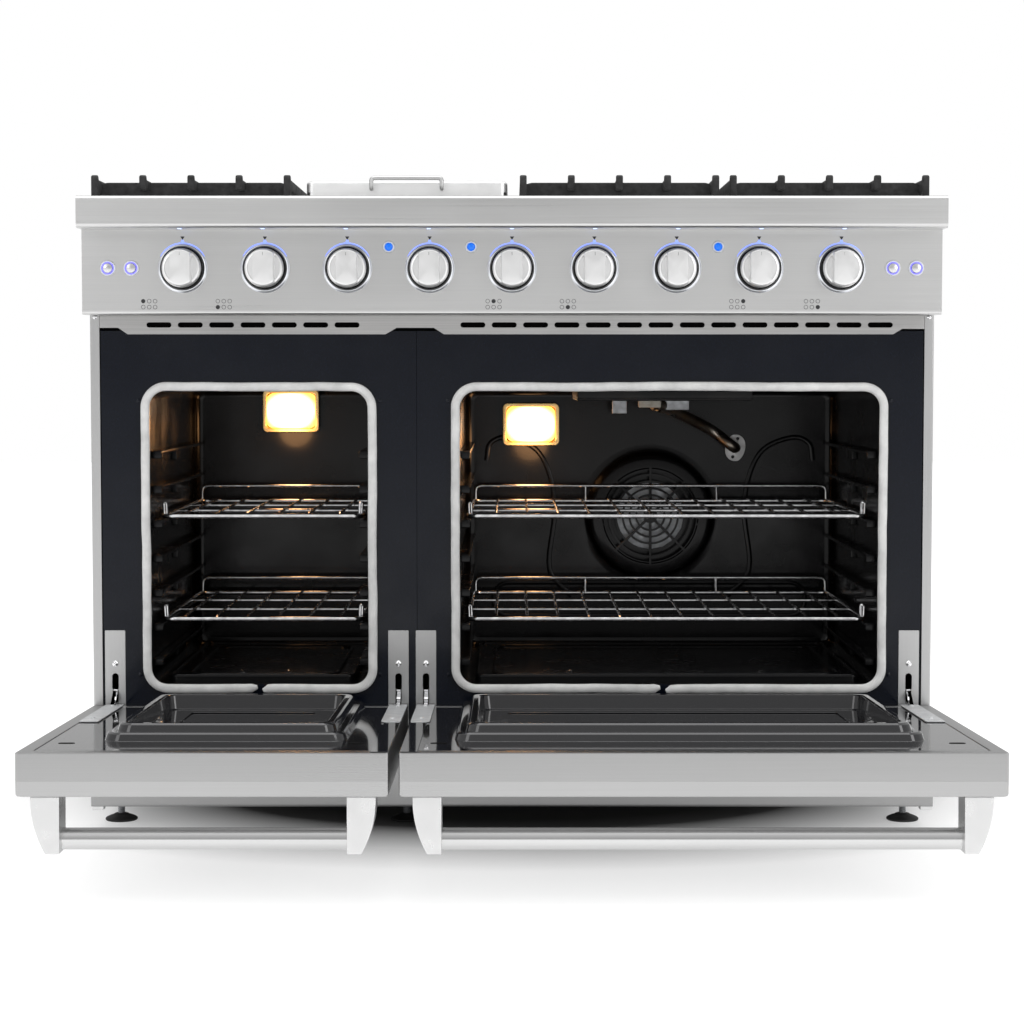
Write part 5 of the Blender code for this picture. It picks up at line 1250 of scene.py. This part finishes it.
for level in ("upper", "lower"):
    make_rack("left_%s_rack" % level, [])
    make_rack("right_%s_rack" % level, [0.12, 0.334])
make_fan_cover()
make_broiler()
for oven in OVENS:
    make_floor(oven)


# ---- Doors ----
def loft(rings):
    """Skin through closed rings of points."""
    shape = bmesh.new()
    skinned(shape, [[shape.verts.new(point) for point in ring] for ring in rings])
    return shape


def door_glass_opening(side):
    """Corners of the window, in the door's own place."""
    low_x, high_x = OVENS[side]
    inset = 0.068
    return (Vector((low_x + 0.003 + inset, 0.026 + inset)),
            Vector((high_x - 0.003 - inset, OVEN_HIGH - 0.008 - HINGE.z - inset)))


def make_door_shell(side):
    """Steel pan of the door, closed about the hinge: rolled rim, slightly drawn front edge at the head, window opening."""
    left, right = DOORS[side]
    low, high = (left, DOOR_FOOT), (right, DOOR_HEAD)
    rings = []
    for inset, y, radius in ((DOOR_LIP + 0.0006, DOOR_INNER - 0.009, 0.003),
                             (DOOR_LIP + 0.0006, DOOR_INNER - 0.0012, 0.003),
                             (DOOR_LIP, DOOR_INNER - 0.0003, 0.003), (DOOR_LIP - 0.0008, DOOR_INNER, 0.003),
                             (0.0020, DOOR_INNER, 0.003), (0.0006, DOOR_INNER - 0.0006, 0.003),
                             (0.0001, DOOR_INNER - 0.0020, 0.003),
                             (0.0001, -0.0460, 0.003), (0.0001, -0.0462, 0.003), (0.0001, -0.0625, 0.003),
                             (0.0010, -0.0650, 0.004), (0.0034, DOOR_OUTER + 0.0001, 0.005)):
        rings.append([(u, y, v) for u, v in rounded_box((low[0] + inset, low[1] + inset),
                                                        (high[0] - inset, high[1] - inset),
                                                         radius, 4)])
    opening = door_glass_opening(side)
    rings.append([(u, DOOR_OUTER + 0.0001, v) for u, v in rounded_box(opening[0], opening[1], 0.004, 4)])
    rings.append([(u, DOOR_OUTER + 0.0022, v) for u, v in rounded_box(opening[0], opening[1], 0.004, 4)])
    shape = loft(rings)
    for vertex in shape.verts:
        if vertex.co.z > DOOR_HEAD - 0.01 and vertex.co.y < DOOR_STEP:
            vertex.co.z -= 0.0020 * min(1.0, (DOOR_STEP - vertex.co.y) / 0.017) + 0.0003
    shell = from_shape(side + "_door_pan", shape, outward=False)
    if next(p for p in shell.data.polygons if p.center.y < DOOR_OUTER + 0.001).normal.y > 0:
        shell.data.flip_normals()
    thickened(shell, SKIN)
    shell = moved(made_real(shell), DOOR_PLACE)
    put(shell, side + "_door", "door_steel", replaces=side + "_door_shell", slot="stainless", angle=28)
    margin = Vector((0.006, 0.006))
    pane = cut_plate(side + "_door_window", [rounded_box(opening[0] - margin, opening[1] + margin, 0.004, 4)],
                     DOOR_OUTER + 0.0024, DOOR_OUTER + 0.0060)
    put(moved(pane, DOOR_PLACE), side + "_door", "oven_glass", slot="glass")


def make_inner_door(side):
    """Pressed enamel panel with two rounded ridges round its window, dark ovals of painted shade for its vent holes,
    and hinge leaves.
    """
    left, right = DOORS[side]
    edge = DOOR_LIP + 0.0016
    low_x, high_x = OVENS[side]
    field = DOOR_INNER - 0.0003
    frame_low, frame_high = Vector((low_x + 0.003, 0.026)), Vector((high_x - 0.003, OVEN_HIGH - 0.008 - HINGE.z))
    rings = [((left + edge, DOOR_FOOT + edge), (right - edge, DOOR_HEAD - edge), 0.004, 0.0)]
    for inset, rise, radius in ((0.0, 0.0, 0.022), (0.0026, 0.0085, 0.0215), (0.0052, 0.0108, 0.021),
                                (0.0110, 0.0108, 0.020),
                                (0.0140, 0.0102, 0.020), (0.0166, 0.0190, 0.0195), (0.0194, 0.0214, 0.019),
                                (0.0260, 0.0214, 0.018),
                                (0.0284, 0.0200, 0.017), (0.0312, 0.0012, 0.016), (0.0330, 0.0, 0.015)):
        grow = Vector((inset, inset))
        rings.append((frame_low + grow, frame_high - grow, radius, rise))
    rings.append((*door_glass_opening(side), 0.004, 0.0))
    loops = [[(u, field + rise, v) for u, v in rounded_box(low, high, radius, 8)] for low, high, radius,
             rise in rings]
    panel = from_shape(side + "_inner_door", loft(loops), outward=False)
    if panel.data.polygons[0].normal.y < 0:
        panel.data.flip_normals()
    thickened(panel, SKIN)
    panel = moved(softened(panel, 0.0012, 2, 22), DOOR_PLACE)
    put(panel, side + "_door", "door_enamel", replaces=side + "_door_inner_panel", slot="enamel", angle=50)
    pane_low, pane_high = door_glass_opening(side)
    margin = Vector((0.007, 0.007))
    pane = cut_plate(side + "_inner_glass", [rounded_box(pane_low - margin, pane_high + margin, 0.004, 4)],
                     field - 0.0050, field - 0.0016)
    put(moved(pane, DOOR_PLACE), side + "_door", "oven_glass", replaces=side + "_door_glass", slot="glass")
    # Painted shade: flat near-black ovals stand for the shade in the door's vent holes.
    well = prism("well", capsule(0, 0, 0.021, 0.0085, 8), field - 0.0001, field + 0.0004, axis="y")
    spots = [(x, 0, 0.455) for x in (left + 0.046, right - 0.046)]
    vent_hole_shades = moved(at_points(side + "_door_grommets", well, spots, "dark_gap"), DOOR_PLACE)
    put(vent_hole_shades, side + "_door", "dark_gap", slot="rubber", angle=0)
    seam = right if side == "left" else left
    inward = -1 if side == "left" else 1
    near, far = sorted((seam + inward * 0.0012, seam + inward * (edge + 0.002)))
    flange = cut_plate(side + "_door_seam_flange",
                       [rounded_box((near, DOOR_FOOT + 0.0012), (far, DOOR_HEAD - 0.0012), 0.002, 3)],
                       DOOR_INNER + 0.0001, DOOR_INNER + 0.0008, soft=0.0002)
    put(moved(flange, DOOR_PLACE), side + "_door", "door_enamel", slot="enamel", angle=40)
    make_hinges(side, field)


def make_hinges(side, field):
    """Polished leaf on the door, chrome arm with its claw, and the brushed plate round the slot in the body."""
    for arm in ("left", "right"):
        node = "%s_door_%s_hinge_arm" % (side, arm)
        x = node_middle(node).x
        half = 0.0034
        claw = [(-0.0100, 0.0300), (-0.0098, 0.0020), (-0.0060, -0.0070), (0.0020, -0.0082), (0.0100, -0.0075),
                (0.0125, -0.0035), (0.0128, 0.0025), (0.0096, 0.0022), (0.0088, -0.0010), (0.0010, -0.0018),
                (-0.0040, 0.0030), (-0.0068, 0.0300)]
        path = [(p.x, p.y) for p in round_corners([(u, v, 0) for u, v in claw], 0.002, 3, True)]
        piece = prism("claw", path, x - half, x + half, axis="x", soft=0.0005, steps=1)
        piece = moved(piece, DOOR_PLACE)
        put(piece, side + "_door", "chrome", replaces=node, slot="polished")
        leaf = cut_plate("leaf", [rounded_box((x - LEAF_HALF, 0.006), (x + LEAF_HALF, 0.225), 0.003, 4)],
                         field + 0.0006, field + 0.0022, soft=0.0004)
        head = lathe("head", [(0, 0), (0.0036, 0), (0.0033, 0.0014), (0.0018, 0.0020), (0, 0.0021)], axis="y",
                     sides=18)
        heads = at_points("heads", head, [(x, field + 0.0021, z) for z in (0.190, 0.030)], "chrome")
        put(moved(joined("%s_%s_hinge_leaf" % (side, arm), [leaf, heads]), DOOR_PLACE), side + "_door", "bright_zinc",
            slot="polished")

        outline = rounded_box((x - 0.0148, 0.150), (x + 0.0148, 0.2888), 0.0012, 3)
        slot = capsule(0, 0, 0.0255, 0.0094, 7)
        slot = [(x + v, 0.2135 + u) for u, v in slot]
        mouth = rounded_box((x - 0.0042, HINGE_SLOT[0]), (x + 0.0042, 0.215), 0.001, 2)
        plate = cut_plate("%s_%s_hinge_plate" % (side, arm), [outline, slot], FRONT - 0.0012, FRONT - 0.0001,
                          soft=0.0003)
        gap = carved(plate, prism("gap", mouth, FRONT - 0.01, FRONT + 0.01, axis="y"))
        put(gap, "range_body", "hinge_plate", slot="stainless")
        head = lathe("%s_%s_plate_screw" % (side, arm),
                     [(0, 0), (0.0044, 0), (0.0042, 0.0014), (0.0030, 0.0024), (0.0012, 0.0028), (0.0009, 0.0021),
                      (0, 0.0020)], (x, FRONT - 0.0012, 0.2405), "-y", 24)
        put(head, "range_body", "chrome", slot="polished")


def make_handle(side):
    """Curved brackets and a round bar, closed about the hinge."""
    left, right = DOORS[side][0] + 0.016, DOORS[side][1] - 0.016
    low, high = 0.4940, 0.5390
    face = DOOR_OUTER - 0.0003
    bars = []
    for start, inward in ((left, 1), (right, -1)):
        outline = [(start + inward * 0.018 * (s / 16) ** 2.2, face - 0.0715 * s / 16) for s in range(17)]
        outline += [(start + inward * 0.036, face - 0.0715), (start + inward * 0.036, face)]
        bars.append(softened(prism("bracket", outline, low, high, axis="z"), 0.0016, 3, 35))
    mid = (low + high) / 2
    bar_y = DOOR_OUTER - 0.0555
    inset = 0.036
    grip = tube("bar", [(left + inset - 0.003, bar_y, mid), (right - inset + 0.003, bar_y, mid)], 0.0136, 48)
    rings = [tube("ring", [(x - 0.0012, bar_y, mid), (x + 0.0012, bar_y, mid)], 0.0137, 48)
             for x in (left + inset + 0.002, right - inset - 0.002)]
    put(moved(joined(side + "_handle_brackets", bars), DOOR_PLACE), side + "_door", "handle_satin",
        replaces=side + "_door_handle", slot="stainless", angle=40)
    put(moved(joined(side + "_handle_bar", [grip] + rings), DOOR_PLACE), side + "_door", "handle_steel",
        slot="stainless", angle=40)


for door in DOORS:
    make_door_shell(door)
    make_inner_door(door)
    make_handle(door)


# ---- Cooktop: grates, burners, griddle ----
GRATES = {"left_grate": "left_burner_pair", "middle_grate": "middle_burner_pair", "right_grate": "right_burner_pair"}
BURNER_ROWS = (FRONT + 0.115, FRONT + 0.415)
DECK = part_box("left_grate")[1].z - 0.006


def iron_bar(outline, x, width=0.0098):
    """A bar of the grate with its cast edges."""
    return prism("bar", outline, x - width / 2, x + width / 2, axis="x", soft=0.0019, steps=2)


def bar_end(y, way, top, foot=None):
    """End of a grate's bar: a fin that rises to top over its foot, or, without a foot, a taper beside a burner."""
    fin = [(0.0, foot), (0.0, top - 0.0030), (0.0024, top), (0.0074, top), (0.0120, DECK)]
    taper = [(0.0060, DECK - 0.0130), (-0.0008, DECK - 0.0120), (-0.0008, DECK - 0.0070), (0.0090, DECK)]
    return [(y + way * along, z) for along, z in (taper if foot is None else fin)][::way]


def make_grate(name):
    """Cast grate: five bars ending in fins, cross bars, and fingers that point at both burners."""
    low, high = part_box(name)
    middle = (low.x + high.x) / 2
    front, rear, base, top = low.y, high.y, low.z, high.z
    reach = (high.x - low.x) / 2 - 0.005
    parts = []
    outline = bar_end(front, 1, top, base) + bar_end(rear, -1, top, base)
    outline += [(rear - 0.0140, base), (rear - 0.0200, DECK - 0.0170), (front + 0.0200, DECK - 0.0170),
                (front + 0.0140, base)]
    parts += [iron_bar(outline, middle + side * reach) for side in (-1, 1)]
    ends = [front] + [y + s * 0.052 for y in BURNER_ROWS for s in (-1, 1)] + [rear]
    feet = [DECK - 0.0150] + [None] * len(BURNER_ROWS) * 2 + [DECK - 0.0150]
    for x in (-reach / 2, 0.0, reach / 2):
        for k in (0, 2, 4):
            bar = bar_end(ends[k], 1, top, feet[k]) + bar_end(ends[k + 1], -1, top, feet[k + 1])
            parts.append(iron_bar(bar, middle + x))
    for y in (front + 0.040, (BURNER_ROWS[0] + BURNER_ROWS[1]) / 2, rear - 0.040):
        outline = [(middle - reach, DECK - 0.0220), (middle - reach - 0.002, DECK - 0.0060),
                   (middle - reach + 0.012, DECK - 0.0022),
                   (middle + reach - 0.012, DECK - 0.0022), (middle + reach + 0.002, DECK - 0.0060),
                   (middle + reach, DECK - 0.0220)]
        parts.append(prism("cross", outline, y - 0.0048, y + 0.0048, axis="y", soft=0.0017, steps=2))
    for y in BURNER_ROWS:
        for side in (-1, 1):
            inner, outer = middle + side * (reach / 2 - 0.020), middle + side * reach
            outline = [(outer, DECK - 0.0145), (outer, DECK - 0.0004), (inner + side * 0.010, DECK),
                       (inner, DECK - 0.0065), (inner, DECK - 0.0115), (inner + side * 0.006, DECK - 0.0130)]
            parts.append(prism("finger", outline, y - 0.0047, y + 0.0047, axis="y", soft=0.0017, steps=2))
            for way in (-1, 1):
                spoke = prism("spoke", [(0.040, DECK - 0.0115), (0.040, DECK - 0.0070), (0.049, DECK - 0.0008),
                                        (0.099, DECK - 0.0008),
                                        (0.099, DECK - 0.0125), (0.046, DECK - 0.0125)], -0.0036, 0.0036, axis="y",
                              soft=0.0014, steps=2)
                turn = Matrix.Rotation(math.radians(45 + 90 * (way > 0) + 180 * (side > 0)), 4, "Z")
                parts.append(moved(spoke, Matrix.Translation((middle, y, 0)) @ turn))
    put(joined(name + "_casting", parts), name, "cast_iron", replaces=name, slot="cast_iron", angle=40)
    pads = [(middle + s * reach, y, base + 0.0004) for s in (-1, 1) for y in (front + 0.007, rear - 0.007)]
    pad = lathe("pad", [(0, 0), (0.0036, 0), (0.0038, 0.0020), (0, 0.0022)], sides=16)
    sown(name + "_pads", pad, pads, "rubber", name, slot="rubber")


def make_burners(name):
    """Sealed burner: cast base with its flame ports, enamelled cap and spark electrode, and the gas tube below."""
    low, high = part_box(name)
    x = (low.x + high.x) / 2
    z = TRAY_FLOOR + 0.0003
    bases, caps, ports, tips = [], [], [], []
    for y in BURNER_ROWS:
        bases.append(lathe("base", [(0, 0), (0.0485, 0), (0.0498, 0.0010), (0.0496, 0.0040), (0.0470, 0.0058),
                                    (0.0400, 0.0070),
                                    (0.0372, 0.0078), (0.0360, 0.0095), (0.0358, 0.0150), (0.0330, 0.0168),
                                    (0, 0.0170)], (x, y, z), sides=72))
        caps.append(lathe("cap", [(0, 0.0162), (0.0325, 0.0160), (0.0342, 0.0170), (0.0345, 0.0195), (0.0336, 0.0222),
                                  (0.0300, 0.0246), (0.0240, 0.0256), (0, 0.0262)], (x, y, z), sides=72))
        # Painted shade: each flame port is a near-black block, standing for the shade in the port.
        slot = slab("port", (0.0352, -0.0009, 0.0105), (0.0366, 0.0009, 0.0146), 0.0002, 1)
        ports.append(moved(in_ring("ports", slot, 34, "dark_gap"), Matrix.Translation((x, y, z))))
        tip = lathe("tip", [(0, 0), (0.0030, 0), (0.0030, 0.0110), (0.0012, 0.0120), (0.0012, 0.0165), (0, 0.0170)],
                    sides=16)
        tips.append(moved(tip, Matrix.Translation((x + 0.0415, y + 0.008, z + 0.0040))))
    stem = z + 0.0003 - 0.034
    route = round_corners([(x, BURNER_ROWS[1], stem - 0.026), (x, low.y + 0.0085, stem - 0.026),
                           (x, low.y + 0.0085, low.z + 0.004)], 0.010, 5)
    necks = [lathe("neck", [(0, 0), (0.0255, 0), (0.0255, 0.0335), (0, 0.0335)], (x, y, z - 0.0342),
                   sides=40) for y in BURNER_ROWS]
    pipe = tube("pipe", [(p.x, p.y, max(p.z, low.z + 0.0062)) for p in route], 0.0058, 14)
    put(joined(name + "_bases", bases + necks + [pipe]), "range_body", "cast_alloy", replaces=name, slot="aluminium")
    put(joined(name + "_caps", caps), "range_body", "burner_cap", slot="cast_iron", angle=25)
    put(joined(name + "_ports", ports), "range_body", "dark_gap", slot="rubber", angle=0)
    put(joined(name + "_electrodes", tips), "range_body", "ceramic", slot="rope")


def make_griddle():
    """Griddle plate with its gutter, its pressed cover and the cover's rod."""
    low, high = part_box("griddle_plate")
    lid_low, lid_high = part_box("griddle_cover")
    plate = slab("plate", (low.x, low.y, low.z + 0.010), high, 0)
    hollow = slab("hollow", (low.x + 0.0085, low.y + 0.0085, high.z - 0.0058),
                  (high.x - 0.0085, high.y - 0.0085, high.z + 0.01))
    gutter = slab("gutter", (low.x + 0.014, low.y + 0.014, high.z - 0.0085), (high.x - 0.014, low.y + 0.036, high.z))
    plate = softened(carved(plate, hollow, gutter), 0.0016, 3)
    legs = [slab("leg", (x - 0.008, y - 0.008, low.z), (x + 0.008, y + 0.008, low.z + 0.012), 0.002, 2)
            for x in (low.x + 0.020, high.x - 0.020) for y in (low.y + 0.020, high.y - 0.020)]
    put(joined("griddle_casting", [plate] + legs), "griddle_plate", "cast_iron", replaces="griddle_plate",
        slot="cast_iron")

    front = low.y
    top = lid_low.z + 0.016
    rings = []
    for inset, z in ((-0.0014, lid_low.z - 0.0080), (-0.0014, top - 0.0050), (-0.0008, top - 0.0030),
                     (0.0018, top - 0.0012),
                     (0.0036, top - 0.0003), (0.0060, top - 0.0001), (0.0260, top - 0.0001), (0.0275, top - 0.0010),
                     (0.0290, top - 0.0012)):
        rings.append([(u, v, z) for u, v in rounded_box((lid_low.x + inset, front + inset),
                                                        (lid_high.x - inset, high.y - inset),
                                                        max(0.010 - inset * 0.4, 0.004), 8)])
    shape = loft(rings)
    shape.faces.new(list(shape.verts)[-len(rings[0]):])
    lid = from_shape("lid", shape, outward=False)
    if lid.data.polygons[-1].normal.z < 0:
        lid.data.flip_normals()
    thickened(lid, SKIN)
    put(joined("griddle_lid", [made_real(lid)]), "griddle_cover", "lid_satin", replaces="griddle_cover",
        slot="stainless", angle=35)
    middle = (low.x + high.x) / 2
    rod = 0.0031
    out, crown, foot = lid_low.y + rod + 0.0003, lid_high.z - rod - 0.0002, lid_low.z + 0.0042
    path = round_corners([(middle - 0.050, front + 0.001, foot), (middle - 0.050, out, foot),
                          (middle - 0.050, out, crown), (middle + 0.050, out, crown), (middle + 0.050, out, foot),
                          (middle + 0.050, front + 0.001, foot)], 0.005, 6)
    put(tube("griddle_lid_rod", path, rod, 16), "griddle_cover", "steel_deep", slot="polished")


for grate, burner_pair in GRATES.items():
    make_grate(grate)
    make_burners(burner_pair)
make_griddle()


# ---- Body ----
def make_sides():
    """Side panels with rounded returns, and the screws that hold them."""
    screw = [(0, 0), (0.0036, 0), (0.0034, 0.0012), (0.0022, 0.0020), (0.0010, 0.0022), (0.0008, 0.0014), (0, 0.0014)]
    for name, side in (("left_side_panel", -1), ("right_side_panel", 1)):
        low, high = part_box(name)
        lip, wall = side * (HALF - 0.0138), side * (HALF - 0.0003)
        line = [(lip, low.y + 0.0003), (wall, low.y + 0.0003), (wall, BACK - 0.0018), (lip, BACK - 0.0018)]
        panel = bent_sheet(name + "_sheet", line, low.z, high.z, bend=0.0022, axis="z", side=-side)
        put(panel, "range_body", "steel_upright", replaces=name, slot="stainless")
        # Painted shade: a near-black strip in the gap beside the front frame stands for the shadow in that gap.
        gap = slab(name + "_gap", (min(lip, lip - side * 0.0022), low.y + 0.004, low.z + 0.08),
                   (max(lip, lip - side * 0.0022), low.y + 0.006, high.z - 0.122))
        put(gap, "range_body", "dark_gap", slot="rubber", angle=0)
        x = side * (HALF - 0.0075)
        places = [(x, low.y + 0.0003, 0.7420)]
        sown(name + "_front_screw", lathe("screw", screw, axis="-y", sides=18), places, "chrome_wire", "range_body",
             slot="polished")


def make_chassis():
    """Kick panel, base pan and louvred back, with their screws."""
    low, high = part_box("chassis")
    kick = bent_sheet("kick", [(FRONT - 0.002, KICK_TOP), (low.y + 0.0003, KICK_TOP),
                               (low.y + 0.0003, low.z + 0.0003),
                               (BACK - 0.0016, low.z + 0.0003)], low.x + 0.0003, high.x - 0.0003, bend=0.003,
                      side=1.0)
    put(joined("kick_and_base", [kick]), "range_body", "kick_steel", replaces="chassis", slot="galvanised")
    back_y = BACK - 0.0022
    edge = [(low.x + 0.004, low.z + 0.002), (high.x - 0.004, low.z + 0.002), (high.x - 0.004, high.z - 0.001),
            (low.x + 0.004, high.z - 0.001)]
    loops = [edge, round_points(*GAS_INLET, 0.0175, 32)]
    loops += [capsule(middle + (column - (count - 1) / 2) * 0.052, 0.56 + row * 0.017, 0.040, 0.0056, 4)
              for middle, count in ((-0.365, 5), (0.227, 7)) for row in range(9) for column in range(count)]
    plate = cut_plate("back_panel", loops, back_y, back_y + 0.0012)
    put(plate, "range_body", "galvanised", slot="galvanised")
    shade = slab("back_insulation", (low.x + 0.010, BACK - 0.026, low.z + 0.010),
                 (high.x - 0.010, BACK - 0.018, 0.78), 0.002, 1)
    put(shade, "range_body", "insulation", slot="rope")
    screw = lathe("screw", [(0, 0), (0.0038, 0), (0.0036, 0.0004), (0.0024, 0.0009), (0, 0.0009)], axis="y", sides=18)
    places = [(x, back_y + 0.0012, z) for x in (low.x + 0.012, -0.30, 0.0, 0.30, high.x - 0.012)
              for z in (low.z + 0.016, 0.30, 0.50, high.z - 0.016)]
    sown("back_screws", screw, places, "chrome_wire", "range_body", slot="polished")
    brackets = [slab("bracket", (x - 0.0085, low.y + 0.004, low.z - 0.0062),
                     (x + 0.0085, low.y + 0.020, low.z - 0.0002), 0.001, 2) for x in (-0.5975, 0.5975)]
    put(joined("leg_brackets", brackets), "range_body", "handle_satin", slot="stainless")


def make_foot(name):
    """Levelling foot: threaded stem with its nut in a domed rubber pad."""
    low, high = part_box(name)
    middle = (low + high) / 2
    radius = (high.x - low.x) / 2
    pad = lathe(name + "_pad", [(0, 0), (radius * 0.93, 0), (radius * 0.985, 0.0012), (radius * 0.985, 0.0030),
                                (radius * 0.92, 0.0044),
                                (radius * 0.72, 0.0066), (radius * 0.50, 0.0084), (radius * 0.42, 0.0098),
                                (radius * 0.36, 0.0103), (0, 0.0104)], (middle.x, middle.y, 0), sides=48)
    put(pad, "range_body", "rubber", replaces=name, slot="rubber", angle=40)
    thread = [(0, 0.0100)]
    for turn in range(11):
        thread += [(0.0046, 0.0102 + turn * 0.0024), (0.0054, 0.0114 + turn * 0.0024)]
    thread += [(0.0046, high.z), (0, high.z)]
    stem = lathe("stem", thread, (middle.x, middle.y, 0), sides=24)
    nut = prism("nut", [(middle.x + 0.0088 * math.cos(a), middle.y + 0.0088 * math.sin(a)) for a in circle(6)],
                0.0225, 0.0275, axis="z", soft=0.0006, steps=1)
    put(joined(name + "_stem", [stem, nut]), "range_body", "galvanised", slot="galvanised")


make_sides()
make_chassis()
for foot in ("front_left", "front_middle", "front_right", "rear_left", "rear_right"):
    make_foot(foot + "_foot")


# ---- Carried-over solids ----
CARRIED = {"stainless": "steel_across", "polished": "chrome", "galvanised": "galvanised", "enamel": "enamel",
           "cast_iron": "cast_iron", "aluminium": "cast_alloy", "rope": "gasket_rope", "glass": "oven_glass",
           "lens": "lamp_glass", "rubber": "rubber"}
for carried_name, carried in frame["nodes"].items():
    if not carried.hide_render:
        for place, old in enumerate(carried.data.materials):
            kind = next((k for k in CARRIED if old and k in old.name), "stainless")
            carried.data.materials[place] = FINISH[CARRIED[kind]]
